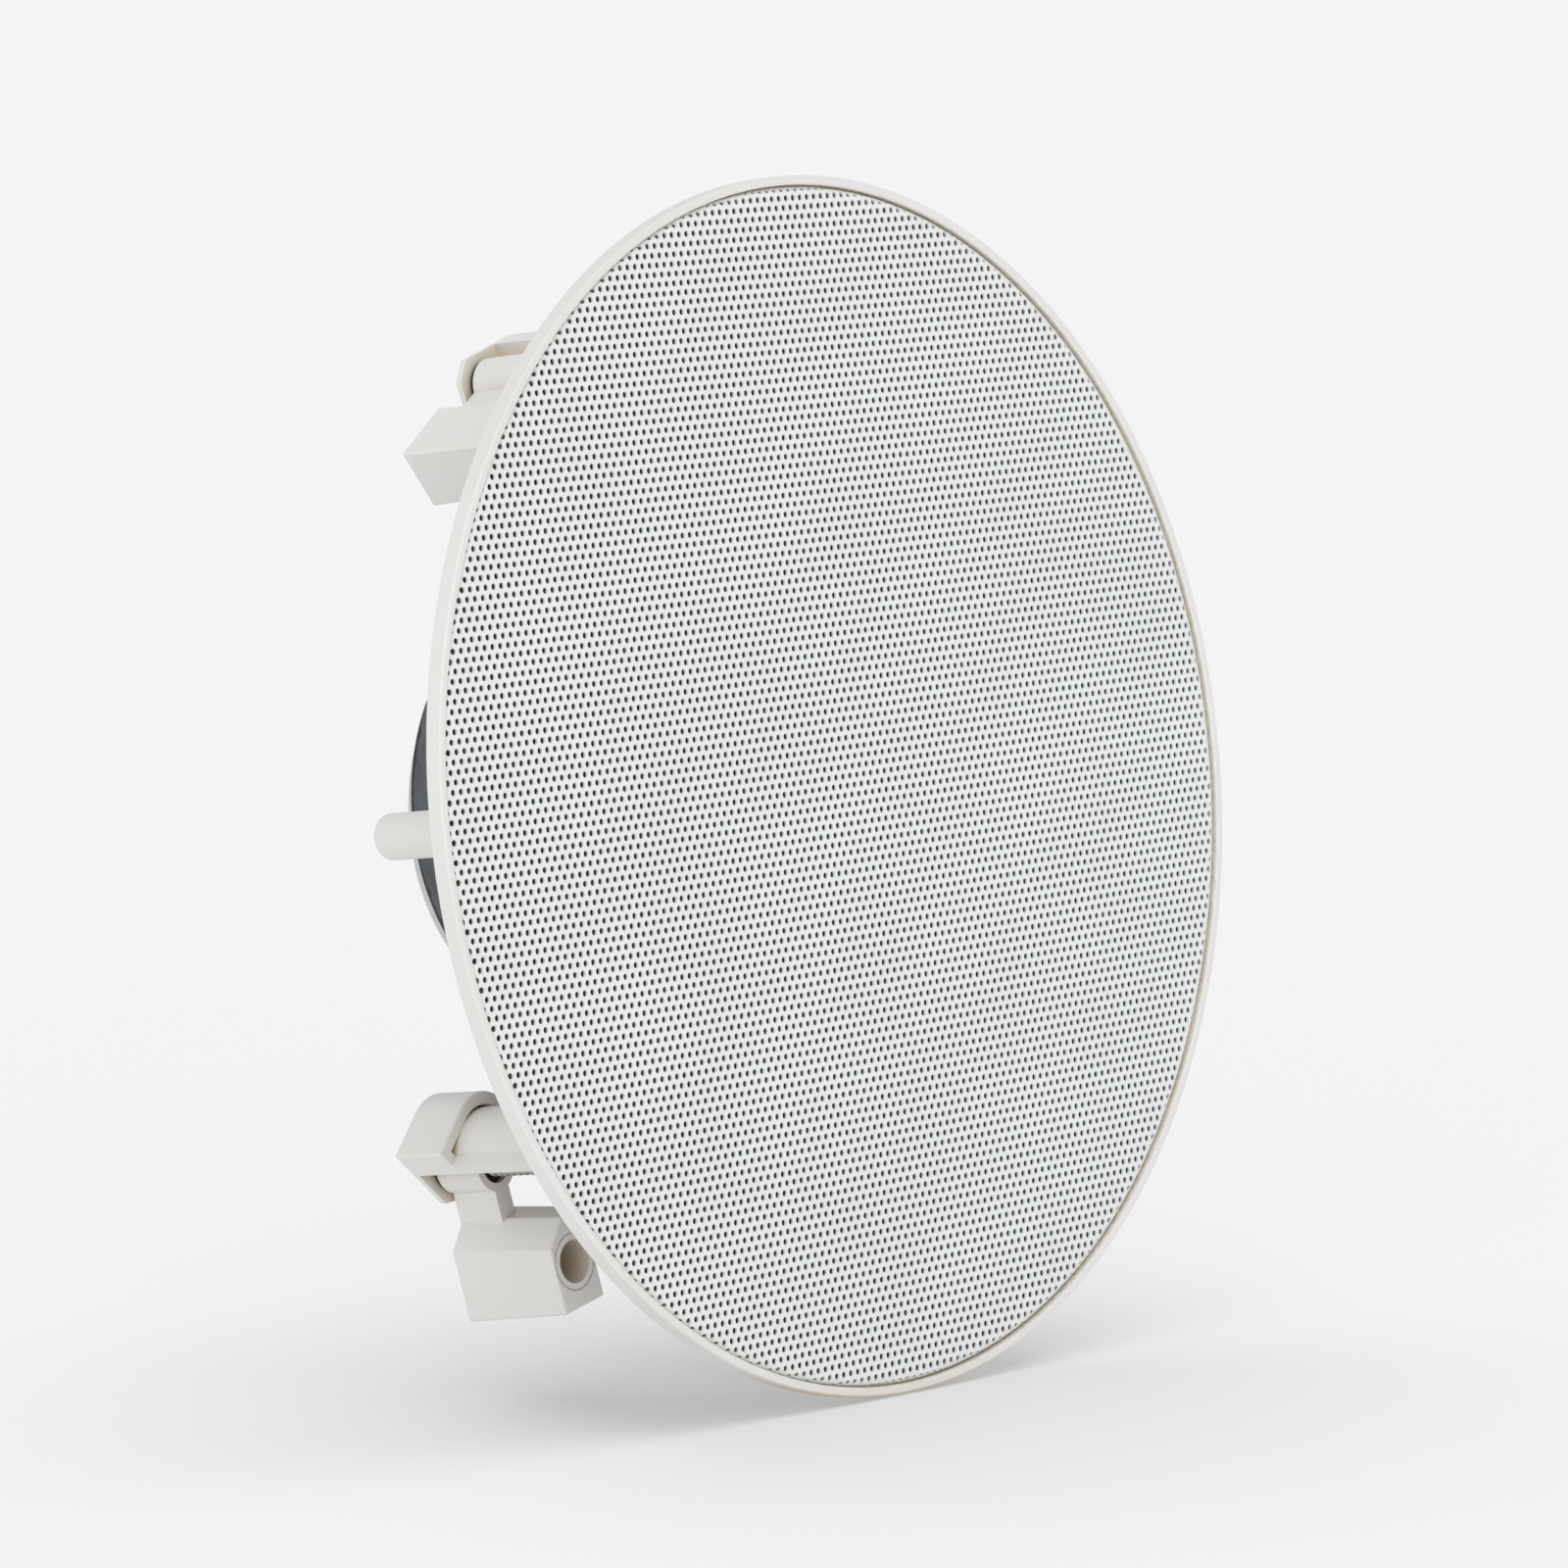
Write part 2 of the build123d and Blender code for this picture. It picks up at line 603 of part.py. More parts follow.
def make_surround():
    roll_r = CONE_EDGE_R + SURROUND_ROLL_R
    outer_end = roll_r + SURROUND_ROLL_R + SURROUND_LIP
    front = BASKET_FRONT - SURROUND_T
    small = SURROUND_ROLL_R - SURROUND_T
    outside = [
        Line((CONE_EDGE_R - CONE_LIP, front), (CONE_EDGE_R, front)),
        ThreePointArc((CONE_EDGE_R, front), (roll_r, front - SURROUND_ROLL_R),
                      (roll_r + SURROUND_ROLL_R, front)),
        Polyline((roll_r + SURROUND_ROLL_R, front), (outer_end, front), (outer_end, BASKET_FRONT)),
    ]
    inside = [
        Polyline((outer_end, BASKET_FRONT), (roll_r + small, BASKET_FRONT), (roll_r + small, front)),
        ThreePointArc((roll_r + small, front), (roll_r, front - small), (roll_r - small, front)),
        Polyline((roll_r - small, front), (roll_r - small, BASKET_FRONT)),
        Polyline((roll_r - small, BASKET_FRONT), (CONE_EDGE_R - CONE_LIP, BASKET_FRONT),
                 (CONE_EDGE_R - CONE_LIP, front)),
    ]
    NODES["woofer_surround"] = revolve(make_face(outside + inside), axis=Axis.Y)


def spider_line(depth):
    start = FORMER_R + SPIDER_GLUE
    wave_start = start + CONE_NECK
    wave_end = CUP_R - BASKET_T
    half = (wave_end - wave_start) / (2 * SPIDER_WAVES)
    line = [Line((start, depth), (wave_start, depth))]
    for index in range(2 * SPIDER_WAVES):
        left = wave_start + index * half
        rise = SPIDER_WAVE if index % 2 else -SPIDER_WAVE
        line.append(ThreePointArc((left, depth), (left + half / 2, depth + rise), (left + half, depth)))
    line.append(Line((wave_end, depth), (LANDING_R - BASKET_T, depth)))
    return line


def make_spider():
    front = LANDING_DEPTH - SPIDER_T
    start = FORMER_R + SPIDER_GLUE
    end = LANDING_R - BASKET_T
    sides = [Line((start, front), (start, LANDING_DEPTH)), Line((end, front), (end, LANDING_DEPTH))]
    NODES["spider"] = revolve(make_face(spider_line(front) + spider_line(LANDING_DEPTH) + sides), axis=Axis.Y)


# The basket's outer wall radius at a depth, and the cone's back, on their straight slopes.
def wall_radius(depth):
    share = (depth - BAFFLE_DEPTH) / (LANDING_DEPTH + BASKET_T - BAFFLE_DEPTH)
    return WALL_TOP_R + share * (LANDING_R - WALL_TOP_R)


def cone_radius(depth):
    lip_back = BASKET_FRONT + CONE_T
    share = (depth - lip_back) / (CONE_NECK_DEPTH - lip_back)
    top = CONE_EDGE_R - CONE_LIP + CONE_T
    return top + share * (FORMER_R + CONE_T - top)


def make_tag_strip():
    middle = wall_radius(TAG_DEPTH) + TAG_HEIGHT / 2
    outline = Rectangle(3 * TAG_HEIGHT, TAG_WIDTH)
    strip = block(outline, TAG_DEPTH, TAG_DEPTH + TAG_T, TAG_ANGLE, middle - TAG_HEIGHT)
    inside = turned([
        (0, BAFFLE_DEPTH), (WALL_TOP_R + TAG_GLUE, BAFFLE_DEPTH),
        (LANDING_R + TAG_GLUE, LANDING_DEPTH + BASKET_T), (0, LANDING_DEPTH + BASKET_T),
    ])
    NODES["tag_strip"] = strip - inside


def tag_point(side, outwards, depth):
    middle = wall_radius(TAG_DEPTH) + outwards
    x, y, z = polar(middle, TAG_ANGLE, depth)
    return (x - side * sin(radians(TAG_ANGLE)), y, z + side * cos(radians(TAG_ANGLE)))


# Each corner's arc is as large as the shorter of its two runs allows.
def corner_radius(before, corner, after):
    run_in = Vector(*corner) - Vector(*before)
    run_out = Vector(*after) - Vector(*corner)
    half_turn = radians(run_in.get_angle(run_out)) / 2
    return WIRE_ARC_SHARE * min(run_in.length, run_out.length) * cos(half_turn) / sin(half_turn)


def wire(points, radius, tight_bends=()):
    corners = [corner_radius(*points[index:index + 3]) for index in range(len(points) - 2)]
    corners[len(corners) - len(tight_bends):] = tight_bends
    path = FilletPolyline(*points, radius=corners)
    section = Plane(origin=path @ 0, z_dir=path % 0) * Circle(radius)
    return sweep(section, path=path)


# Each braid leaves the tag strip's front, passes through a window beside the leg and ends on the cone's back.
def make_braids():
    cone_depth = TAG_DEPTH - BRAID_SAG
    cone_end = cone_radius(cone_depth) - wall_radius(TAG_DEPTH)
    braids = []
    for side in (-BRAID_SPREAD, BRAID_SPREAD):
        start = tag_point(side, BRAID_SAG, TAG_DEPTH - BRAID_R)
        slack = tag_point(side, -BRAID_SAG, TAG_DEPTH - BRAID_R)
        rise = tag_point(side, cone_end + 2 * BRAID_SAG, cone_depth + 2 * BRAID_R)
        end = tag_point(side, cone_end + BRAID_R, cone_depth + 2 * BRAID_R)
        braids.append(wire([start, slack, rise, end], BRAID_R))
    NODES["lead_braids"] = Compound(braids)


def make_tweeter():
    stem = disc(TWEETER_STEM_R, TOP_PLATE_DEPTH, TOP_PLATE_DEPTH + TWEETER_STEM_LENGTH)
    NODES["tweeter_post"] = disc(TWEETER_POST_R, TWEETER_BACK, TOP_PLATE_DEPTH) + stem
    cavity = TWEETER_R - TWEETER_WALL
    floor = TWEETER_BACK - TWEETER_FLOOR
    shell = disc(TWEETER_R, TWEETER_FRONT, TWEETER_BACK)
    NODES["tweeter_housing"] = shell - disc(cavity, TWEETER_FRONT, floor)
    NODES["tweeter_magnet"] = disc(TWEETER_MAGNET_R, floor - TWEETER_MAGNET_T, floor)
    flange_front = TWEETER_FRONT - DOME_T
    trim_front = flange_front - TRIM_T
    NODES["tweeter_trim"] = ring(TWEETER_R, TRIM_IN, trim_front, flange_front)
    NODES["tweeter_dome"] = dome_shell(flange_front)


def dome_shell(flange_front):
    sphere_r = (DOME_R ** 2 + DOME_HEIGHT ** 2) / (2 * DOME_HEIGHT)
    centre = flange_front - DOME_HEIGHT + sphere_r
    small = sphere_r - DOME_T
    foot = sqrt(small ** 2 - (centre - TWEETER_FRONT) ** 2)
    share = DOME_R / 2
    front = ThreePointArc((0, centre - sphere_r), (share, centre - sqrt(sphere_r ** 2 - share ** 2)),
                          (DOME_R, flange_front))
    back = ThreePointArc((0, centre - small), (share, centre - sqrt(small ** 2 - share ** 2)),
                         (foot, TWEETER_FRONT))
    flange = Polyline((DOME_R, flange_front), (DOME_FLANGE_R, flange_front), (DOME_FLANGE_R, TWEETER_FRONT),
                      (foot, TWEETER_FRONT))
    return revolve(make_face([front, flange, back, Line(back @ 0, front @ 0)]), axis=Axis.Y)


def board_block(sketch, front, back):
    return block(sketch, front, back, BOARD_ANGLE, BOARD_PCR)


def make_crossover():
    board = Rectangle(BOARD_RADIAL, BOARD_LENGTH)
    screws = []
    for spot in board_screw_places():
        board = board - spot * Circle(BOARD_SCREW_R)
        shank = board_block(spot * Circle(BOARD_SCREW_R), BAFFLE_BACK + BOARD_SCREW_R, BOARD_BACK)
        head = board_block(spot * Circle(BOARD_HEAD_R), BOARD_BACK, BOARD_BACK + BOARD_HEAD_T)
        slot = board_block(spot * Rectangle(BOARD_HEAD_R, BOARD_HEAD_T / 2), BOARD_BACK + BOARD_HEAD_T / 2,
                           BOARD_BACK + BOARD_HEAD_T)
        screws.append(shank + head - slot)
    NODES["crossover_board"] = board_block(board, BOARD_FRONT, BOARD_BACK)
    NODES["board_screws"] = Compound(screws)
    NODES["inductor"] = inductor()
    NODES["capacitor"] = capacitor()
    spot = box_sketch(RESISTOR_OFFSET - RESISTOR_SIDE / 2, RESISTOR_OFFSET + RESISTOR_SIDE / 2,
                      PART_START, PART_START + CAPACITOR_LENGTH)
    NODES["resistor"] = board_block(spot, BOARD_BACK, BOARD_BACK + RESISTOR_SIDE)


def inductor():
    spot = Pos(0, -INDUCTOR_OFFSET)
    top = BOARD_BACK + INDUCTOR_HEIGHT
    core = board_block(spot * Circle(INDUCTOR_CORE), BOARD_BACK, top)
    lower = board_block(spot * Circle(INDUCTOR_R), BOARD_BACK, BOARD_BACK + INDUCTOR_RIM)
    upper = board_block(spot * Circle(INDUCTOR_R), top - INDUCTOR_RIM, top)
    return core + lower + upper


def capacitor():
    can = Cylinder(CAPACITOR_R, CAPACITOR_LENGTH, rotation=(90, 0, 0))
    middle = PART_START + CAPACITOR_LENGTH / 2
    spot = place(BOARD_BACK + CAPACITOR_R, BOARD_ANGLE, BOARD_PCR) * Pos(-CAPACITOR_OFFSET, middle, 0)
    return spot * can


def terminal_screw_places():
    return [Pos(0, side * TAB_OFFSET / 2) for side in (-1, 1)]


def terminal_block(sketch, front, back):
    return block(sketch, front, back, TERMINAL_ANGLE, TERMINAL_PCR)


def tab_spot(side):
    return Pos(TAB_OUT, side * TAB_OFFSET)


def wire_hole_spot(side):
    return Pos(-WIRE_HOLE_IN, side * TAB_OFFSET)


def make_terminals():
    outline = RectangleRounded(TERMINAL_RADIAL, TERMINAL_LENGTH, TERMINAL_ROUND)
    body = terminal_block(outline, BAFFLE_BACK, TERMINAL_BACK)
    pocket_floor = TERMINAL_BACK - TAB_POCKET
    tab = RectangleRounded(TAB_RADIAL, TAB_WIDTH, TAB_ROUND)
    pocket = RectangleRounded(TAB_RADIAL + 2 * TAB_CLEAR, TAB_WIDTH + 2 * TAB_CLEAR, TAB_ROUND + TAB_CLEAR)
    for side, name in ((-1, "terminal_tab_red"), (1, "terminal_tab_black")):
        body = body - terminal_block(tab_spot(side) * pocket, pocket_floor, TERMINAL_BACK)
        hole = wire_hole_spot(side) * Circle(WIRE_HOLE_R)
        body = body - terminal_block(hole, TERMINAL_BACK - WIRE_HOLE_DEPTH, TERMINAL_BACK)
        tab_front = pocket_floor + TAB_TRAVEL + TAB_FLOOR
        NODES[name] = terminal_block(tab_spot(side) * tab, tab_front, TERMINAL_BACK + TAB_STAND)
    screws = []
    for spot in terminal_screw_places():
        depth = BAFFLE_BACK + BOARD_BOSS
        shank = terminal_block(spot * Circle(BOARD_SCREW_R), BAFFLE_DEPTH, depth)
        head = terminal_block(spot * Circle(BOARD_HEAD_R), BAFFLE_DEPTH - BOARD_HEAD_T, BAFFLE_DEPTH)
        slot = terminal_block(spot * Rectangle(BOARD_HEAD_R, BOARD_HEAD_T / 2), BAFFLE_DEPTH - BOARD_HEAD_T,
                              BAFFLE_DEPTH - BOARD_HEAD_T / 2)
        body = body - terminal_block(spot * Circle(BOARD_SCREW_R), BAFFLE_BACK, depth)
        screws.append(shank + head - slot)
    NODES["terminal_block"] = body
    NODES["terminal_screws"] = Compound(screws)


# A point on the inner edge of the board or of the terminal block, at an offset along that edge.
def edge_point(angle, radius, offset, depth):
    x, y, z = polar(radius, angle, depth)
    return (x - offset * sin(radians(angle)), y, z + offset * cos(radians(angle)))


def board_edge(offset):
    inner = BOARD_PCR - BOARD_RADIAL / 2
    depth = (BOARD_FRONT + BOARD_BACK) / 2
    return [edge_point(BOARD_ANGLE, inner - lead, offset, depth) for lead in (0, WIRE_LEAD)]


def terminal_edge(offset, depth):
    inner = TERMINAL_PCR - TERMINAL_RADIAL / 2
    return [edge_point(TERMINAL_ANGLE, inner - lead, offset, depth) for lead in (0, WIRE_LEAD)]


# The two input wires run round the basket, one behind the other, from the terminals to the board.
def input_wire(side):
    depth = WIRE_DEPTH + (side + 1) / 2 * WIRE_STEP
    first = TERMINAL_ANGLE - WIRE_TURN / 2
    last = BOARD_ANGLE - 360 + WIRE_TURN
    turns = round((first - last) / WIRE_TURN)
    step = (first - last) / turns
    ring_points = [polar(WIRE_RING_R, first - index * step, depth) for index in range(turns + 1)]
    board_end = board_edge(BOARD_SCREW_OFFSET - (side + 1) * WIRE_LEAD)
    return wire(terminal_edge(side * TAB_OFFSET, depth) + ring_points + board_end[::-1], WIRE_R)


def woofer_wire(side):
    offset = side * TAG_PITCH
    tag_end = wall_radius(TAG_DEPTH) + TAG_HEIGHT
    depth = TAG_DEPTH + TAG_T / 2
    tag_points = [edge_point(TAG_ANGLE, tag_end + lead, offset, depth) for lead in (WIRE_LEAD, 0)]
    return wire(board_edge(offset) + tag_points, WIRE_R)


# The tweeter's wire runs outside the basket and the magnet, then over the back plate and into its vent.
def tweeter_wire():
    offset = -BOARD_LENGTH / 4
    angle = BOARD_ANGLE - WIRE_TURN / 3
    beside = FERRITE_R + WIRE_LEAD
    behind = MOTOR_BACK + WIRE_R
    stem_end = TOP_PLATE_DEPTH + TWEETER_STEM_LENGTH
    run = [polar(beside, angle, TOP_PLATE_DEPTH), polar(beside, angle, behind)]
    run = run + [(0, behind, 0), (0, stem_end, 0)]
    return wire(board_edge(offset) + run, WIRE_R, [beside - BACK_PLATE_R, VENT_R - WIRE_R])


def make_wires():
    NODES["input_wire_red"] = input_wire(-1)
    NODES["input_wire_black"] = input_wire(1)
    NODES["woofer_wires"] = Compound([woofer_wire(side) for side in (-1, 1)])
    NODES["tweeter_wire"] = tweeter_wire()


def main():
    make_frame()
    make_grille()
    make_cloth()
    make_grille_magnets()
    make_clamps()
    make_basket()
    make_gasket_and_screws()
    make_motor()
    make_cone_and_coil()
    make_surround()
    make_spider()
    make_tag_strip()
    make_braids()
    make_tweeter()
    make_crossover()
    make_terminals()
    make_wires()
    os.makedirs("parts", exist_ok=True)
    for name, shape in NODES.items():
        export_step(shape, f"parts/{name}.step")
        print(name, len(shape.solids()), round(shape.volume, 1))


main()
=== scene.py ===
import bpy
import bmesh
import json
import math
from mathutils import Matrix, Vector


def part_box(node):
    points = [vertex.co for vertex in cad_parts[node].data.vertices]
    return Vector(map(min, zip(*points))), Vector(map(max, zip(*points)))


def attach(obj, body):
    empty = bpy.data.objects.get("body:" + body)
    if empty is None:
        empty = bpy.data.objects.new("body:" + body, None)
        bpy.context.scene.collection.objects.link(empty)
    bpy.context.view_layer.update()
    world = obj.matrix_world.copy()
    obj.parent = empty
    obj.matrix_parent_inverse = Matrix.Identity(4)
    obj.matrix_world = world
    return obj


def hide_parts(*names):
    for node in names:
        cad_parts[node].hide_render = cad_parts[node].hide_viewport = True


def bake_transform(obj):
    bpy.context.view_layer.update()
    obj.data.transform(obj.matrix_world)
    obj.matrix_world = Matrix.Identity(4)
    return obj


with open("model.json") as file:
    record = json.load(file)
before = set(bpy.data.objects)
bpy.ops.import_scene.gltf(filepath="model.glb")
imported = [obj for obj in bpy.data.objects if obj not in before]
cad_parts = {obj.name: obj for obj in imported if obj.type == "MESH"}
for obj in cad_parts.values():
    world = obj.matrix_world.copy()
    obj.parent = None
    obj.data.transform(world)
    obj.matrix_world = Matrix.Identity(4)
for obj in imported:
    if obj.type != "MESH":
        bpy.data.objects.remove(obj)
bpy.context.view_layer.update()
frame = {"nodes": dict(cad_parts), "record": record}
print("frame loaded with", len(frame["nodes"]), "nodes")

mm = 0.001


def shade(red, green, blue):  # a screen colour as the linear values that the shader takes
    parts = [value / 255 for value in (red, green, blue)]
    linear = [part / 12.92 if part <= 0.04045 else ((part + 0.055) / 1.055) ** 2.4 for part in parts]
    return (*linear, 1.0)


# Small helpers for the node trees
def newFinish(name, sockets):
    mat = bpy.data.materials.new(name)
    mat.use_nodes = True
    shader = mat.node_tree.nodes["Principled BSDF"]
    for socket, value in sockets.items():
        shader.inputs[socket].default_value = value
    return mat


def addNode(mat, kind, sockets=None, **settings):
    made = mat.node_tree.nodes.new(kind)
    for key, value in settings.items():
        setattr(made, key, value)
    for socket, value in (sockets or {}).items():
        made.inputs[socket].default_value = value
    return made


def join(mat, out, into):
    mat.node_tree.links.new(out, into)


def toShader(mat, out, socket):
    join(mat, out, mat.node_tree.nodes["Principled BSDF"].inputs[socket])


def objectCoords(mat, centre=(0, 0, 0), turn=(0, 0, 0), stretch=(1, 1, 1)):
    coords = addNode(mat, "ShaderNodeTexCoord")
    moved = addNode(mat, "ShaderNodeVectorMath", {1: centre}, operation="SUBTRACT")
    turned = addNode(mat, "ShaderNodeMapping", {"Rotation": turn, "Scale": stretch})
    join(mat, coords.outputs["Object"], moved.inputs[0])
    join(mat, moved.outputs["Vector"], turned.inputs["Vector"])
    return turned.outputs["Vector"]


def noise(mat, coords, scale, detail=4.0, rough=0.5):
    made = addNode(mat, "ShaderNodeTexNoise", {"Scale": scale, "Detail": detail, "Roughness": rough})
    join(mat, coords, made.inputs["Vector"])
    return made.outputs["Fac"]


def sums(mat, operation, first, second=None, third=None):
    made = addNode(mat, "ShaderNodeMath", operation=operation)
    for index, value in enumerate((first, second, third)):
        if isinstance(value, (int, float)):
            made.inputs[index].default_value = value
        elif value is not None:
            join(mat, value, made.inputs[index])
    return made.outputs["Value"]


def halfAndHalf(mat, first, second):
    return sums(mat, "MULTIPLY_ADD", first, 0.5, sums(mat, "MULTIPLY", second, 0.5))


def wave(mat, along, pitch):  # one full wave for each pitch
    return sums(mat, "SINE", sums(mat, "MULTIPLY", along, 2 * math.pi / pitch))


def spread(mat, value, low, high, start=0.3, end=0.7):
    made = addNode(mat, "ShaderNodeMapRange", {1: start, 2: end, 3: low, 4: high})
    join(mat, value, made.inputs[0])
    return made.outputs["Result"]


def deepToPale(mat, value, look, start=0.3, end=0.7):
    made = addNode(mat, "ShaderNodeValToRGB")
    deep, pale = made.color_ramp.elements
    deep.position, deep.color = start, look["deep"]
    pale.position, pale.color = end, look["pale"]
    join(mat, value, made.inputs["Fac"])
    return made.outputs["Color"]


def mixed(mat, share, first, second):
    made = addNode(mat, "ShaderNodeMix", data_type="RGBA")
    join(mat, share, made.inputs[0])
    for value, socket in ((first, made.inputs[6]), (second, made.inputs[7])):
        if isinstance(value, tuple):
            socket.default_value = value
        else:
            join(mat, value, socket)
    return made.outputs[2]


def bump(mat, height, distance, strength=1.0, under=None):
    made = addNode(mat, "ShaderNodeBump", {"Strength": strength, "Distance": distance})
    join(mat, height, made.inputs["Height"])
    if under is not None:
        join(mat, under, made.inputs["Normal"])
    return made.outputs["Normal"]


def axes(mat, coords):
    made = addNode(mat, "ShaderNodeSeparateXYZ")
    join(mat, coords, made.inputs["Vector"])
    return made.outputs


def reachFrom(mat, coords):  # the distance from the speaker's axis
    parts = axes(mat, coords)
    square = sums(mat, "ADD", sums(mat, "POWER", parts["X"], 2.0), sums(mat, "POWER", parts["Z"], 2.0))
    return sums(mat, "SQRT", square)


# White moulded plastic of the frame and the clamp ears, with painted shade turning deep corners warm beige
# brown
mouldedWhite = {
    # the warm third colour, and the reach, from and to values after it, are painted shade for deep corners
    "pale": shade(237, 236, 234), "deep": shade(232, 231, 228), "recess": shade(214, 197, 171),
    "recessReach": 12 * mm, "recessFrom": 0.05, "recessTo": 0.75, "flowScale": 22.0, "grainScale": 2600.0,
    "grainDepth": 0.012 * mm, "roughness": (0.40, 0.52),
}


def mouldedWhiteFinish():
    look = mouldedWhite
    mat = newFinish("moulded_white", {"IOR": 1.5, "Specular IOR Level": 0.45})
    coords = objectCoords(mat)
    flow = noise(mat, coords, look["flowScale"], detail=3.0)
    grain = noise(mat, coords, look["grainScale"], detail=2.0)
    corners = addNode(mat, "ShaderNodeAmbientOcclusion", {"Distance": look["recessReach"]}, samples=6)
    # painted shade: where the occlusion finds deep corners, the colour turns a warm beige brown
    paintedShadeShare = spread(mat, corners.outputs["AO"], 1, 0, look["recessFrom"], look["recessTo"])
    toShader(mat, mixed(mat, paintedShadeShare, deepToPale(mat, flow, look), look["recess"]), "Base Color")
    toShader(mat, spread(mat, grain, *look["roughness"]), "Roughness")
    toShader(mat, bump(mat, grain, look["grainDepth"]), "Normal")
    return mat


# Cool white powder coat on the grille
powderCoat = {
    "pale": shade(241, 244, 243), "deep": shade(236, 239, 238), "flowScale": 30.0, "peelScale": 1400.0,
    "peelDepth": 0.01 * mm, "roughness": (0.42, 0.55),
}


def powderCoatFinish():
    mat = newFinish("powder_coat", {"IOR": 1.5, "Specular IOR Level": 0.4})
    coords = objectCoords(mat)
    flow = noise(mat, coords, powderCoat["flowScale"], detail=2.0)
    peel = noise(mat, coords, powderCoat["peelScale"], detail=2.0)
    toShader(mat, deepToPale(mat, flow, powderCoat), "Base Color")
    toShader(mat, spread(mat, peel, *powderCoat["roughness"]), "Roughness")
    toShader(mat, bump(mat, peel, powderCoat["peelDepth"]), "Normal")
    return mat


# Open woven cloth: two sets of threads that pass over and under each other
weave = {"fuzzShare": 0.6, "lowest": -0.7, "highest": 1.3}
clothLook = {
    "deep": shade(10, 10, 11), "pale": shade(34, 34, 36), "threadPitch": 0.9 * mm, "fuzzScale": 3000.0,
    "depth": 0.08 * mm, "roughness": 0.85, "sheen": 0.1, "bias": 12.0,
}
spiderLook = {
    "deep": shade(150, 102, 40), "pale": shade(206, 160, 84), "threadPitch": 1.1 * mm, "fuzzScale": 2500.0,
    "depth": 0.1 * mm, "roughness": 0.7, "sheen": 0.05, "bias": 30.0,
}
silkLook = {
    "deep": shade(40, 37, 37), "pale": shade(70, 66, 66), "threadPitch": 0.35 * mm, "fuzzScale": 4000.0,
    "depth": 0.02 * mm, "roughness": 0.5, "sheen": 0.2, "bias": 0.0,
}


def wovenFinish(name, look):
    mat = newFinish(name, {"Roughness": look["roughness"], "Sheen Weight": look["sheen"]})
    coords = objectCoords(mat, turn=(0, math.radians(look["bias"]), 0))
    parts = axes(mat, coords)
    warp = wave(mat, parts["X"], look["threadPitch"])
    weft = wave(mat, parts["Z"], look["threadPitch"])
    fuzz = noise(mat, coords, look["fuzzScale"], detail=3.0)
    height = sums(mat, "MULTIPLY_ADD", fuzz, weave["fuzzShare"], sums(mat, "MULTIPLY", warp, weft))
    raised = spread(mat, height, 0, 1, weave["lowest"], weave["highest"])
    toShader(mat, deepToPale(mat, raised, look, 0.0, 1.0), "Base Color")
    toShader(mat, bump(mat, height, look["depth"]), "Normal")
    return mat


# Bright plate on screws, washers and pole pieces, with fine marks drawn along the axis
zincLook = {
    "pale": shade(212, 213, 211), "deep": shade(190, 192, 191), "markScale": 900.0, "roughness": (0.26, 0.38),
}
nickelLook = {
    "pale": shade(222, 220, 214), "deep": shade(188, 187, 182), "markScale": 500.0, "roughness": (0.16, 0.28),
}
darkLook = {
    "pale": shade(96, 91, 82), "deep": shade(66, 62, 55), "markScale": 1200.0, "roughness": (0.38, 0.52),
}
metalMarks = {"stretch": (1, 0.08, 1), "depth": 0.006 * mm, "stainScale": 45.0}


def drawnMetalFinish(name, look):
    mat = newFinish(name, {"Metallic": 1.0})
    stain = noise(mat, objectCoords(mat), metalMarks["stainScale"], detail=5.0)
    marks = noise(mat, objectCoords(mat, stretch=metalMarks["stretch"]), look["markScale"], detail=3.0)
    toShader(mat, deepToPale(mat, halfAndHalf(mat, stain, marks), look, 0.25, 0.75), "Base Color")
    toShader(mat, spread(mat, marks, *look["roughness"]), "Roughness")
    toShader(mat, bump(mat, marks, metalMarks["depth"]), "Normal")
    return mat


# Ground ferrite: fine lines round the ring, small chips, and a smear of glue along the back edge
ferriteLook = {
    "pale": shade(86, 91, 97), "deep": shade(60, 64, 70), "chip": shade(48, 50, 54),
    "lineScale": 2400.0, "lineStretch": (0.12, 1, 0.12), "lineDepth": 0.01 * mm, "patchScale": 160.0,
    "chipScale": 700.0, "chipFrom": 0.66, "chipTo": 0.72, "chipDepth": 0.05 * mm, "roughness": (0.36, 0.5),
}
glueSmear = {
    "black": shade(22, 23, 25), "width": 0.9 * mm, "solid": 0.54 * mm, "wander": 0.6 * mm,
    "wanderScale": 320.0,
}


def ferriteFinish():
    look = ferriteLook
    mat = newFinish("ground_ferrite", {"Specular IOR Level": 0.6})
    coords = objectCoords(mat)
    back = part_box("ferrite_magnet")[1].y
    lines = noise(mat, objectCoords(mat, stretch=look["lineStretch"]), look["lineScale"], detail=3.0)
    patches = noise(mat, coords, look["patchScale"], detail=5.0)
    chips = noise(mat, coords, look["chipScale"], detail=6.0, rough=0.65)
    ground = deepToPale(mat, halfAndHalf(mat, lines, patches), look, 0.36, 0.62)
    chipped = mixed(mat, spread(mat, chips, 0, 1, look["chipFrom"], look["chipTo"]), ground, look["chip"])
    edge = noise(mat, coords, glueSmear["wanderScale"], detail=3.0)
    wander = spread(mat, edge, -glueSmear["wander"], glueSmear["wander"])
    depth = sums(mat, "ADD", axes(mat, coords)["Y"], wander)
    glued = spread(mat, depth, 0, 1, back - glueSmear["width"], back - glueSmear["solid"])
    toShader(mat, mixed(mat, glued, chipped, glueSmear["black"]), "Base Color")
    toShader(mat, spread(mat, lines, *look["roughness"]), "Roughness")
    lined = bump(mat, lines, look["lineDepth"])
    toShader(mat, bump(mat, chips, look["chipDepth"], strength=0.5, under=lined), "Normal")
    return mat


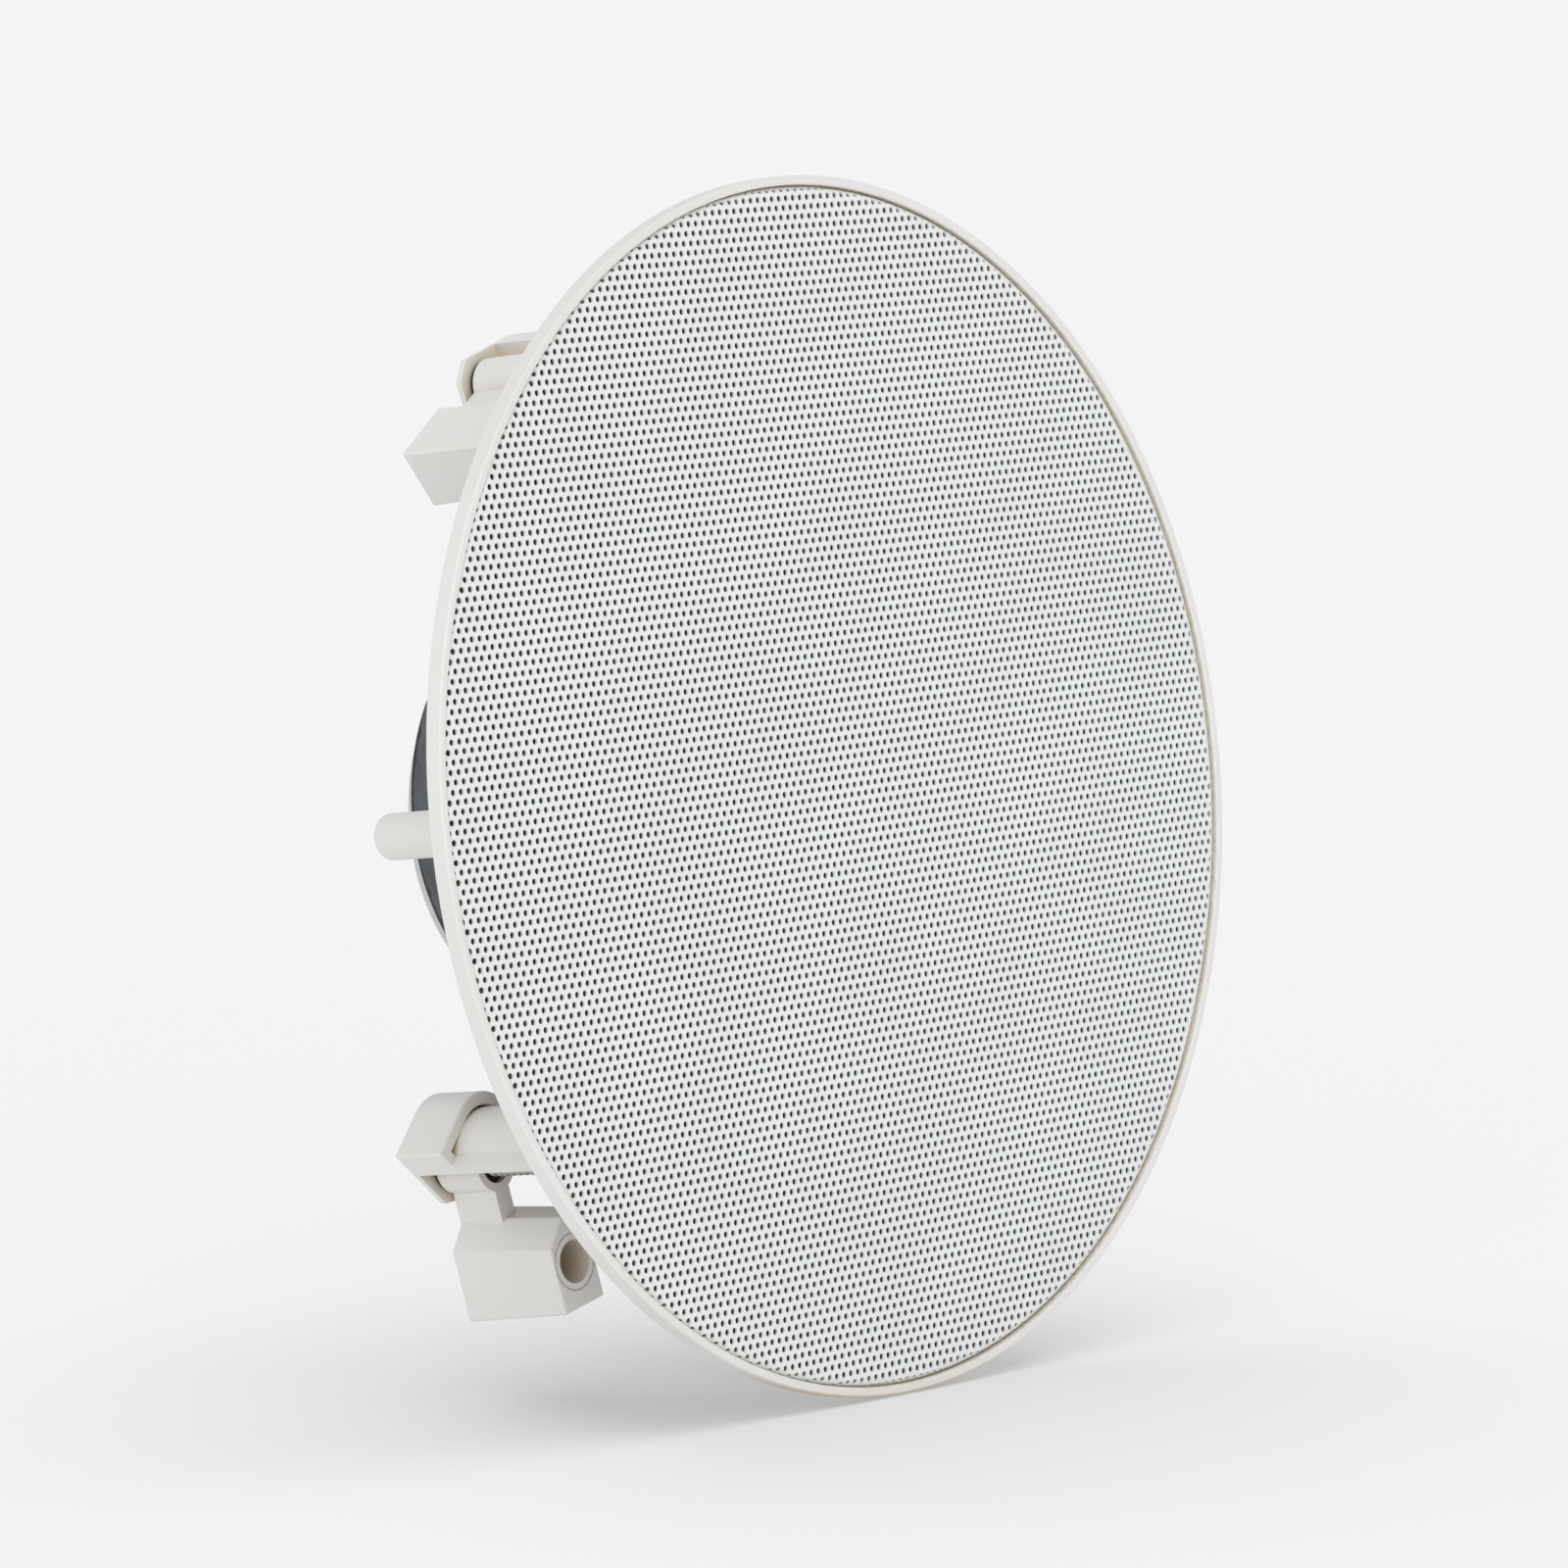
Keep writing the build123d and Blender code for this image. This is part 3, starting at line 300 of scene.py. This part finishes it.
# Plain grained finishes that differ only in tone, grain and gloss
def grained(pale, deep, scale, depth, gloss):
    return {"pale": shade(*pale), "deep": shade(*deep), "scale": scale, "depth": depth * mm, "gloss": gloss}


grainLooks = {
    "basket_black": grained((46, 46, 47), (34, 34, 35), scale=1500.0, depth=0.012, gloss=(0.34, 0.46)),
    "gasket_foam": grained((44, 44, 45), (22, 22, 23), scale=2600.0, depth=0.09, gloss=(0.85, 0.95)),
    "surround_rubber": grained((36, 36, 37), (28, 28, 29), scale=1800.0, depth=0.008, gloss=(0.52, 0.62)),
    "tweeter_black": grained((38, 38, 39), (28, 28, 29), scale=2400.0, depth=0.02, gloss=(0.45, 0.58)),
    "terminal_black": grained((40, 40, 41), (30, 30, 31), scale=2200.0, depth=0.02, gloss=(0.42, 0.55)),
    "tab_red": grained((196, 40, 36), (180, 30, 28), scale=2200.0, depth=0.008, gloss=(0.28, 0.38)),
    "tab_black": grained((36, 36, 37), (28, 28, 29), scale=2200.0, depth=0.008, gloss=(0.28, 0.38)),
    "tag_board": grained((150, 108, 66), (122, 82, 48), scale=700.0, depth=0.015, gloss=(0.5, 0.62)),
    "resistor_white": grained((232, 228, 220), (208, 203, 194), scale=900.0, depth=0.04, gloss=(0.7, 0.85)),
    "wire_red": grained((186, 34, 30), (166, 24, 22), scale=1600.0, depth=0.008, gloss=(0.38, 0.5)),
    "wire_black": grained((34, 34, 35), (24, 24, 25), scale=1600.0, depth=0.008, gloss=(0.38, 0.5)),
    "wire_grey": grained((150, 150, 152), (132, 132, 134), scale=1600.0, depth=0.008, gloss=(0.38, 0.5)),
}
grainFlow = 60.0


def grainFinish(name):
    look = grainLooks[name]
    mat = newFinish(name, {"IOR": 1.48})
    coords = objectCoords(mat)
    flow = noise(mat, coords, grainFlow, detail=3.0)
    grain = noise(mat, coords, look["scale"], detail=3.0)
    toShader(mat, deepToPale(mat, halfAndHalf(mat, grain, flow), look, 0.38, 0.62), "Base Color")
    toShader(mat, spread(mat, grain, *look["gloss"]), "Roughness")
    toShader(mat, bump(mat, grain, look["depth"]), "Normal")
    return mat


# Pressed paper cone with long fibres and shallow rings
paperLook = {
    "pale": shade(54, 53, 52), "deep": shade(36, 35, 35), "fibreScale": 500.0, "fibreStretch": (1, 0.3, 2.2),
    "fibreDepth": 0.05 * mm, "ringPitch": 5.5 * mm, "ringDepth": 0.12 * mm,
}


def paperFinish():
    look = paperLook
    mat = newFinish("cone_paper", {"Roughness": 0.82})
    along = objectCoords(mat, stretch=look["fibreStretch"])
    fibres = noise(mat, along, look["fibreScale"], detail=6.0, rough=0.6)
    rings = wave(mat, reachFrom(mat, objectCoords(mat)), look["ringPitch"])
    toShader(mat, deepToPale(mat, fibres, look, 0.35, 0.65), "Base Color")
    ringed = bump(mat, rings, look["ringDepth"], strength=0.5)
    toShader(mat, bump(mat, fibres, look["fibreDepth"], strength=0.8, under=ringed), "Normal")
    return mat


# Voice coil: a thin former with a lacquered copper winding over part of its length
coilLook = {
    "former": shade(196, 190, 176), "copper": shade(184, 112, 66), "wireWidth": 0.3 * mm,
    "wireDepth": 0.05 * mm, "windingFrom": 49.0 * mm, "windingTo": 58.0 * mm,
}


def coilFinish():
    mat = newFinish("coil_former", {"Metallic": 0.85, "Roughness": 0.36})
    depth = axes(mat, objectCoords(mat))["Y"]
    wound = sums(mat, "MULTIPLY", sums(mat, "GREATER_THAN", depth, coilLook["windingFrom"]),
                 sums(mat, "LESS_THAN", depth, coilLook["windingTo"]))
    wires = sums(mat, "MULTIPLY", wave(mat, depth, coilLook["wireWidth"]), wound)
    toShader(mat, mixed(mat, wound, coilLook["former"], coilLook["copper"]), "Base Color")
    toShader(mat, bump(mat, wires, coilLook["wireDepth"]), "Normal")
    return mat


# Inductor: lacquered copper turns
copperLook = {
    "pale": shade(206, 122, 70), "deep": shade(158, 84, 44), "streakScale": 260.0, "streakStretch": (1, 5, 1),
    "roughness": (0.24, 0.38),
}


def copperFinish():
    mat = newFinish("copper_coil", {"Metallic": 0.85, "Coat Weight": 0.5, "Coat Roughness": 0.12})
    along = objectCoords(mat, stretch=copperLook["streakStretch"])
    streaks = noise(mat, along, copperLook["streakScale"], detail=4.0)
    toShader(mat, deepToPale(mat, streaks, copperLook), "Base Color")
    toShader(mat, spread(mat, streaks, *copperLook["roughness"]), "Roughness")
    return mat


# Copper braid: strands that cross round the lead
braidLook = {
    "pale": shade(206, 138, 92), "deep": shade(122, 70, 42), "strandPitch": 0.6 * mm, "strandDepth": 0.1 * mm,
}


def braidFinish():
    mat = newFinish("copper_braid", {"Metallic": 0.9, "Roughness": 0.4})
    parts = axes(mat, objectCoords(mat))
    oneWay = wave(mat, sums(mat, "ADD", parts["Y"], parts["X"]), braidLook["strandPitch"])
    otherWay = wave(mat, sums(mat, "SUBTRACT", parts["Z"], parts["X"]), braidLook["strandPitch"])
    strands = sums(mat, "MULTIPLY", oneWay, otherWay)
    toShader(mat, deepToPale(mat, spread(mat, strands, 0, 1, -1, 1), braidLook, 0.2, 0.7), "Base Color")
    toShader(mat, bump(mat, strands, braidLook["strandDepth"]), "Normal")
    return mat


# Circuit board: green mask over copper tracks
boardLook = {
    "mask": shade(30, 92, 52), "track": shade(52, 124, 70), "trackScale": 260.0, "trackFrom": 0.34,
    "trackTo": 0.4, "trackDepth": 0.05 * mm, "turn": 281.0, "grainScale": 2500.0, "roughness": (0.34, 0.46),
}


def boardFinish():
    look = boardLook
    mat = newFinish("board_green", {"Coat Weight": 0.4, "Coat Roughness": 0.15})
    coords = objectCoords(mat, turn=(0, math.radians(look["turn"]), 0))
    cells = addNode(mat, "ShaderNodeTexVoronoi", {"Scale": look["trackScale"]}, distance="CHEBYCHEV")
    join(mat, coords, cells.inputs["Vector"])
    track = spread(mat, cells.outputs["Distance"], 0, 1, look["trackFrom"], look["trackTo"])
    grain = noise(mat, coords, look["grainScale"], detail=2.0)
    toShader(mat, mixed(mat, track, look["mask"], look["track"]), "Base Color")
    toShader(mat, spread(mat, grain, *look["roughness"]), "Roughness")
    toShader(mat, bump(mat, track, look["trackDepth"]), "Normal")
    return mat


# Capacitor: blue shrink sleeve with one pale stripe along it
sleeveLook = {
    "blue": shade(38, 60, 118), "stripe": shade(170, 176, 186), "stripeWidth": 1.6 * mm, "stripeLean": -0.195,
    "wrinkleScale": 700.0, "wrinkleDepth": 0.03 * mm,
}


def sleeveFinish():
    mat = newFinish("capacitor_blue", {"Roughness": 0.3, "Coat Weight": 0.3})
    low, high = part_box("capacitor")
    coords = objectCoords(mat, centre=(low + high) / 2)
    parts = axes(mat, coords)
    away = sums(mat, "ABSOLUTE", sums(mat, "MULTIPLY_ADD", parts["X"], sleeveLook["stripeLean"], parts["Z"]))
    stripe = sums(mat, "LESS_THAN", away, sleeveLook["stripeWidth"] / 2)
    wrinkle = noise(mat, coords, sleeveLook["wrinkleScale"], detail=2.0)
    toShader(mat, mixed(mat, stripe, sleeveLook["blue"], sleeveLook["stripe"]), "Base Color")
    toShader(mat, bump(mat, wrinkle, sleeveLook["wrinkleDepth"]), "Normal")
    return mat


# One finish for each of the record's material slots
finishes = {
    "frame_white": mouldedWhiteFinish(), "grille_white": powderCoatFinish(), "ferrite": ferriteFinish(),
    "cone_paper": paperFinish(), "coil_former": coilFinish(), "copper_braid": braidFinish(),
    "copper_coil": copperFinish(), "board_green": boardFinish(), "capacitor_blue": sleeveFinish(),
}
for name, look in (("cloth_black", clothLook), ("spider_cloth", spiderLook), ("dome_silk", silkLook)):
    finishes[name] = wovenFinish(name, look)
for name, look in (("nickel", nickelLook), ("zinc_steel", zincLook), ("steel_dark", darkLook)):
    finishes[name] = drawnMetalFinish(name, look)
for name in grainLooks:
    finishes[name] = grainFinish(name)
underFinish = {"inductor": "tweeter_black"}  # its copper turns are a piece of their own, on this black bobbin
for part in frame["record"]["subparts"]:
    piece = frame["nodes"][part["node"]]
    piece.data.materials.clear()
    piece.data.materials.append(finishes[underFinish.get(part["node"], part["material_slot"])])
print("finishes on", len(frame["nodes"]), "nodes")


# Small helpers for the meshes
meshing = {"sharpAbove": math.radians(35), "weld": 0.001 * mm, "nodeWeld": 0.0005 * mm}


def newPiece(name, bm, finish, body):
    mesh = bpy.data.meshes.new(name)
    bm.to_mesh(mesh)
    bm.free()
    mesh.materials.append(finish)
    piece = bpy.data.objects.new(name, mesh)
    bpy.context.scene.collection.objects.link(piece)
    if body:
        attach(piece, body)
    return piece


def vertsOf(made):
    return [item for item in made["geom"] if isinstance(item, bmesh.types.BMVert)]


def thicken(bm, step):  # a sheet gets a back, and walls between
    back = bmesh.ops.extrude_face_region(bm, geom=bm.faces[:], use_keep_orig=True)
    bmesh.ops.translate(bm, vec=step, verts=vertsOf(back))


def smoothOver(bm, keepCorners=True):
    bmesh.ops.recalc_face_normals(bm, faces=bm.faces)
    for face in bm.faces:
        face.smooth = True
    for edge in bm.edges:
        edge.smooth = not keepCorners or edge.calc_face_angle(math.pi) < meshing["sharpAbove"]


def axisOf(low, high):  # the middle of a box, as a point on an axis along Y
    return Vector(((low.x + high.x) / 2, 0, (low.z + high.z) / 2))


def spunLine(bm, points, centre, steps, turns=1, climb=0.0):  # (reach, Y) points turned about an axis along Y
    line = [bm.verts.new((centre.x + reach, y, centre.z)) for reach, y in points]
    edges = [bm.edges.new(pair) for pair in zip(line, line[1:])]
    bmesh.ops.spin(bm, geom=line + edges, axis=(0, 1, 0), cent=centre, angle=2 * math.pi * turns,
                   dvec=(0, climb / steps, 0), steps=steps * turns, use_merge=climb == 0)
    bmesh.ops.remove_doubles(bm, verts=bm.verts, dist=meshing["weld"])


# Grille: a flat blank punched with a triangle pattern of holes, pressed to a shallow dome with a rolled edge
grille = {
    "pitch": 2.0646 * mm, "holeRadius": 0.62 * mm, "holeSides": 12, "rowTurn": math.radians(9.48),
    "firstHole": (-0.22, 0.036), "sheet": 0.4 * mm, "domeRadius": 4000 * mm, "rollRadius": 1.2 * mm,
    "doublings": 6, "weldShare": 0.002,
}
grilleLow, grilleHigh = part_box("grille")
rowAlong = Vector((math.cos(grille["rowTurn"]), 0, math.sin(grille["rowTurn"])))
rowAcross = Vector((math.sin(grille["rowTurn"]), 0, -math.cos(grille["rowTurn"])))
domeCentre = grilleLow.y + grille["domeRadius"]
rollReach = grilleHigh.x - grille["rollRadius"]
edgeLean = math.asin(rollReach / (grille["domeRadius"] - grille["rollRadius"]))
rollCentre = domeCentre - (grille["domeRadius"] - grille["rollRadius"]) * math.cos(edgeLean)
domeLength = grille["domeRadius"] * edgeLean
rollLength = grille["rollRadius"] * (math.pi / 2 - edgeLean)
blankReach = domeLength + rollLength + grilleHigh.y - rollCentre


def pressed(length, depth):  # a point of the blank, at a depth behind its front face, as reach and Y
    if length <= domeLength:
        lean = length / grille["domeRadius"]
        radius = grille["domeRadius"] - depth
        return radius * math.sin(lean), domeCentre - radius * math.cos(lean)
    lean = min(edgeLean + (length - domeLength) / grille["rollRadius"], math.pi / 2)
    radius = grille["rollRadius"] - depth
    drop = max(0.0, length - domeLength - rollLength)
    return rollReach + radius * math.sin(lean), rollCentre - radius * math.cos(lean) + drop


def pressedPlace(flat):
    way = rowAlong * flat.x + rowAcross * flat.y
    length = min(way.length, blankReach)
    reach, y = pressed(length, flat.z)
    return way.normalized() * reach + Vector((0, y, 0))


def doubled(bm, step):
    made = bmesh.ops.duplicate(bm, geom=bm.verts[:] + bm.edges[:] + bm.faces[:])
    bmesh.ops.translate(bm, vec=step, verts=vertsOf(made))


def punchedQuarter(right, lower):
    pitch = grille["pitch"]
    weld = pitch * grille["weldShare"]
    rowStep = pitch * math.sqrt(3) / 2 * (1 if lower else -1)
    bm = bmesh.new()
    # one six-sided cell with its hole, doubled along its row and then row by row
    bmesh.ops.create_circle(bm, segments=grille["holeSides"], radius=grille["holeRadius"])
    bmesh.ops.create_circle(bm, segments=6, radius=pitch / math.sqrt(3))
    bmesh.ops.bridge_loops(bm, edges=bm.edges[:])
    startX = grille["firstHole"][0] * pitch - (0 if right else pitch) + (0 if lower else pitch / 2)
    startY = grille["firstHole"][1] * pitch + (0 if lower else rowStep)
    bmesh.ops.translate(bm, vec=(startX, startY, 0), verts=bm.verts)
    for turn in range(grille["doublings"]):
        doubled(bm, Vector((pitch * 2 ** turn * (1 if right else -1), 0, 0)))
    doubled(bm, Vector((pitch / 2 * (1 if lower else -1), rowStep, 0)))
    for turn in range(1, grille["doublings"]):
        doubled(bm, Vector((0, rowStep * 2 ** turn, 0)))
    outside = [face for face in bm.faces if min(vert.co.length for vert in face.verts) > blankReach]
    bmesh.ops.delete(bm, geom=outside, context="FACES")
    bmesh.ops.remove_doubles(bm, verts=bm.verts, dist=weld)
    thicken(bm, (0, 0, grille["sheet"]))
    for vert in bm.verts:
        vert.co = pressedPlace(vert.co)
    bmesh.ops.dissolve_degenerate(bm, edges=bm.edges, dist=weld)
    smoothOver(bm)
    return bm


for right in (True, False):
    for lower in (True, False):
        name = "grille_" + ("lower" if lower else "upper") + ("_right" if right else "_left")
        sheet = punchedQuarter(right, lower)
        quarter = newPiece(name, sheet, finishes["grille_white"], "body")
        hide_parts("grille")
        print(name, "faces", len(quarter.data.polygons))


# Cloth glued behind the grille, stretched over the same dome
cloth = {"radius": 111.45 * mm, "thick": 0.3 * mm, "glue": 0.1 * mm, "rings": 24, "turns": 96}


def domedCloth():
    bm = bmesh.new()
    lengths = [cloth["radius"] * index / cloth["rings"] for index in range(cloth["rings"] + 1)]
    points = [pressed(length, grille["sheet"] + cloth["glue"]) for length in lengths]
    spunLine(bm, points, Vector((0, 0, 0)), cloth["turns"])
    thicken(bm, (0, cloth["thick"], 0))
    smoothOver(bm, keepCorners=False)
    return bm


backing = newPiece("grille_backing", domedCloth(), finishes["cloth_black"], "body")
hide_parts("grille_cloth")
print("cloth behind the grille made")


# Clamp screws: a head with a cross slot, a plain neck, and a cut thread that runs to the end
clampScrew = {
    "shankRadius": 2.45 * mm, "headDepth": 2.8 * mm, "headEdge": 0.35 * mm, "slotArm": 2.1 * mm,
    "slotWidth": 1.2 * mm, "slotDepth": 1.6 * mm, "neck": 4.6 * mm, "pitch": 1.6 * mm,
    "threadDepth": 0.5 * mm, "crestFrom": 0.42, "crestTo": 0.58, "steps": 20, "flatWithin": 0.0001 * mm,
}


def crossSlot(bm, centre, top):  # the flat of the head round the slot, and the slot itself
    arm, half = clampScrew["slotArm"], clampScrew["slotWidth"] / 2
    cross = []
    for turn in range(4):
        way = Matrix.Rotation(turn * math.pi / 2, 2)
        for spot in ((arm, -half), (arm, half), (half, half)):
            across, up = way @ Vector(spot)
            cross.append(bm.verts.new((centre.x + across, top, centre.z + up)))
    edges = [bm.edges.new((cross[index - 1], cross[index])) for index in range(len(cross))]
    rimEdges = [edge for edge in bm.edges if edge not in edges
                and all(abs(vert.co.y - top) < clampScrew["flatWithin"] for vert in edge.verts)]
    bmesh.ops.bridge_loops(bm, edges=edges + rimEdges)
    walls = bmesh.ops.extrude_edge_only(bm, edges=edges)
    bottom = vertsOf(walls)
    bmesh.ops.translate(bm, vec=(0, clampScrew["slotDepth"], 0), verts=bottom)
    bottomEdges = [item for item in walls["geom"] if isinstance(item, bmesh.types.BMEdge)
                   and all(vert in bottom for vert in item.verts)]
    bmesh.ops.contextual_create(bm, geom=bottomEdges)


def threadedScrew(low, high):
    bm = bmesh.new()
    centre = axisOf(low, high)
    head, edge = (high.x - low.x) / 2, clampScrew["headEdge"]
    shank, root = clampScrew["shankRadius"], clampScrew["shankRadius"] - clampScrew["threadDepth"]
    under = low.y + clampScrew["headDepth"]
    start, pitch, steps = under + clampScrew["neck"], clampScrew["pitch"], clampScrew["steps"]
    spunLine(bm, [(head - edge, low.y), (head, low.y + edge), (head, under), (shank, under), (shank, start),
                  (root, start + pitch / 4)], centre, steps)
    crossSlot(bm, centre, low.y)
    turns = int((high.y - start) / pitch) - 1
    crestFrom, crestTo = start + pitch * clampScrew["crestFrom"], start + pitch * clampScrew["crestTo"]
    spunLine(bm, [(root, start), (shank, crestFrom), (shank, crestTo), (root, start + pitch)], centre, steps,
             turns, pitch)
    spunLine(bm, [(root, high.y - 2 * pitch), (root, high.y - pitch / 2), (root - pitch / 2, high.y),
                  (0, high.y)], centre, steps)
    smoothOver(bm)
    return bm


for number in (1, 2, 3):
    node = "clamp_screw_" + str(number)
    screw = newPiece("threaded_screw_" + str(number), threadedScrew(*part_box(node)), finishes["zinc_steel"],
                     "screw_" + str(number))
    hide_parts(node)
print("clamp screws cut, faces", len(screw.data.polygons), "each")


# Copper turns side by side on the inductor's bobbin
winding = {"rim": 1.2 * mm, "coreRadius": 6.6 * mm, "wire": 0.86 * mm, "arcSteps": 6, "steps": 48}


def copperTurns(low, high):
    bm = bmesh.new()
    first, last = low.y + winding["rim"], high.y - winding["rim"]
    turns = int((last - first) / winding["wire"])
    radius = (last - first) / turns / 2
    core = winding["coreRadius"]
    points = [(core - radius, first)]
    for turn in range(turns):
        for step in range(winding["arcSteps"] + 1):
            lean = math.pi * step / winding["arcSteps"]
            points.append((core + radius * math.sin(lean), first + radius * (2 * turn + 1 - math.cos(lean))))
    points.append((core - radius, last))
    spunLine(bm, points, axisOf(low, high), winding["steps"])
    smoothOver(bm, keepCorners=False)
    return bm


newPiece("inductor_winding", copperTurns(*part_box("inductor")), finishes["copper_coil"], "body")
print("inductor wound")


# Soft rings between the frame and the cone, cut in wedges, each a piece of its own
softRings = {
    "woofer_surround": {"wedges": 12, "still": 65.6 * mm, "moving": 59.0 * mm, "slot": "surround_rubber"},
    "spider": {"wedges": 8, "still": 27.6 * mm, "moving": 14.1 * mm, "slot": "spider_cloth"},
}


def nodeCopy(node):
    bm = bmesh.new()
    bm.from_mesh(frame["nodes"][node].data)
    bmesh.ops.remove_doubles(bm, verts=bm.verts, dist=meshing["nodeWeld"])
    smoothOver(bm)
    return bm


def outward(angle):
    return Vector((math.cos(angle), 0, math.sin(angle)))


for node, soft in softRings.items():
    whole = nodeCopy(node)
    half = math.pi / soft["wedges"]
    for index in range(soft["wedges"]):
        middle = 2 * half * index
        wedge = whole.copy()
        for side in (-1, 1):  # keep what lies between the wedge's two edges
            away = outward(middle + side * half + math.pi / 2) * side
            bmesh.ops.bisect_plane(wedge, geom=wedge.verts[:] + wedge.edges[:] + wedge.faces[:],
                                   plane_co=(0, 0, 0), plane_no=away, clear_outer=True)
        piece = newPiece(node + "_" + str(index + 1), wedge, finishes[soft["slot"]], None)
        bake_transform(piece)
        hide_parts(node)
    whole.free()

# The lead-out braids bend from the tag strip to the cone
piece = newPiece("lead_out_braids", nodeCopy("lead_braids"), finishes["copper_braid"], None)
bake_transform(piece)
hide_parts("lead_braids")


# Stage: a pale floor that the rim stands on, leaning as the speaker does in the picture
backdrop = {
    "white": shade(244, 244, 244), "seenBy": ("Is Camera Ray", "Is Glossy Ray", "Is Transmission Ray"),
    "sky": 0.62, "floorTilt": (-0.1444, -0.1218, 0.9820), "floorDrop": 114.15 * mm, "floorReach": 9.0,
    "floorSides": 64, "floorPaper": 0.33,
}
frontSun = {"from": (-0.66, -0.62, 0.42), "strength": 1.0, "spread": 60.0}
shadowSun = {"from": (0.0, 0.05, 1.0), "strength": 3.2, "spread": 85.0}  # lights the floor alone


def rayKinds(world, names):  # 1 for the ray kinds named, else 0
    rays = addNode(world, "ShaderNodeLightPath")
    total = rays.outputs[names[0]]
    for name in names[1:]:
        total = sums(world, "MAXIMUM", total, rays.outputs[name])
    return total


def chosen(owner, share, first, second):
    made = addNode(owner, "ShaderNodeMixShader")
    for index, out in enumerate((share, first.outputs[0], second.outputs[0])):
        join(owner, out, made.inputs[index])
    return made.outputs[0]


def makeWorld():
    world = bpy.data.worlds.new("studio")
    bpy.context.scene.world = world
    world.use_nodes = True
    lit = world.node_tree.nodes["Background"]
    lit.inputs["Color"].default_value = (1, 1, 1, 1)
    lit.inputs["Strength"].default_value = backdrop["sky"]
    seen = addNode(world, "ShaderNodeBackground", {"Color": backdrop["white"]})
    both = chosen(world, rayKinds(world, backdrop["seenBy"]), lit, seen)
    join(world, both, world.node_tree.nodes["World Output"].inputs["Surface"])


def floorFinish(normal):
    mat = bpy.data.materials.new("floor_white")
    mat.use_nodes = True
    mat.node_tree.nodes.remove(mat.node_tree.nodes["Principled BSDF"])
    light = backdrop["sky"]
    for sun in (frontSun, shadowSun):
        light += sun["strength"] * max(0, Vector(sun["from"]).normalized().dot(normal)) / math.pi
    print("light on the floor", round(light, 3))
    paper = addNode(mat, "ShaderNodeBsdfDiffuse", {"Color": (*[backdrop["floorPaper"]] * 3, 1)})
    # the glow makes the open floor as bright as the backdrop
    missing = backdrop["white"][0] - backdrop["floorPaper"] * light
    glow = addNode(mat, "ShaderNodeEmission", {"Color": (1, 1, 1, 1), "Strength": missing})
    both = addNode(mat, "ShaderNodeAddShader")
    join(mat, paper.outputs[0], both.inputs[0])
    join(mat, glow.outputs[0], both.inputs[1])
    under = addNode(mat, "ShaderNodeNewGeometry")
    clear = addNode(mat, "ShaderNodeBsdfTransparent")
    oneSided = chosen(mat, under.outputs["Backfacing"], both, clear)
    join(mat, oneSided, mat.node_tree.nodes["Material Output"].inputs["Surface"])
    return mat


def makeFloor():
    normal = Vector(backdrop["floorTilt"]).normalized()
    turn = normal.to_track_quat("Z", "Y").to_matrix().to_4x4()
    bm = bmesh.new()
    bmesh.ops.create_circle(bm, cap_ends=True, segments=backdrop["floorSides"], radius=backdrop["floorReach"],
                            matrix=Matrix.Translation(-normal * backdrop["floorDrop"]) @ turn)
    mesh = bpy.data.meshes.new("floor")
    bm.to_mesh(mesh)
    bm.free()
    mesh.materials.append(floorFinish(normal))
    floor = bpy.data.objects.new("floor", mesh)
    bpy.context.scene.collection.objects.link(floor)
    return floor


def makeSun(name, sun, onto=None):
    lamp = bpy.data.lights.new(name, "SUN")
    lamp.energy = sun["strength"]
    lamp.angle = math.radians(sun["spread"])
    holder = bpy.data.objects.new(name, lamp)
    holder.rotation_mode = "QUATERNION"
    holder.rotation_quaternion = Vector(sun["from"]).to_track_quat("Z", "Y")
    bpy.context.scene.collection.objects.link(holder)
    if onto:
        lit = bpy.data.collections.new(name + "_lit")
        lit.objects.link(onto)
        holder.light_linking.receiver_collection = lit


makeWorld()
floor = makeFloor()
makeSun("front_sun", frontSun)
makeSun("shadow_sun", shadowSun, floor)
print("floor and light made")


# Camera, at the picture's viewing angle
camera = {
    "place": (-1.277991, -1.064407, -0.1566), "ahead": (0.76105138, 0.64186062, 0.09389217), "lens": 203.6,
    "sensor": 36.0, "near": 0.05, "far": 60.0,
}


def makeCamera():
    data = bpy.data.cameras.new("camera")
    data.lens = camera["lens"]
    data.sensor_width = camera["sensor"]
    data.clip_start = camera["near"]
    data.clip_end = camera["far"]
    holder = bpy.data.objects.new("camera", data)
    holder.location = camera["place"]
    holder.rotation_mode = "QUATERNION"
    holder.rotation_quaternion = Vector(camera["ahead"]).to_track_quat("-Z", "Y")
    bpy.context.scene.collection.objects.link(holder)
    bpy.context.scene.camera = holder


makeCamera()
bpy.context.scene.view_settings.view_transform = "Standard"
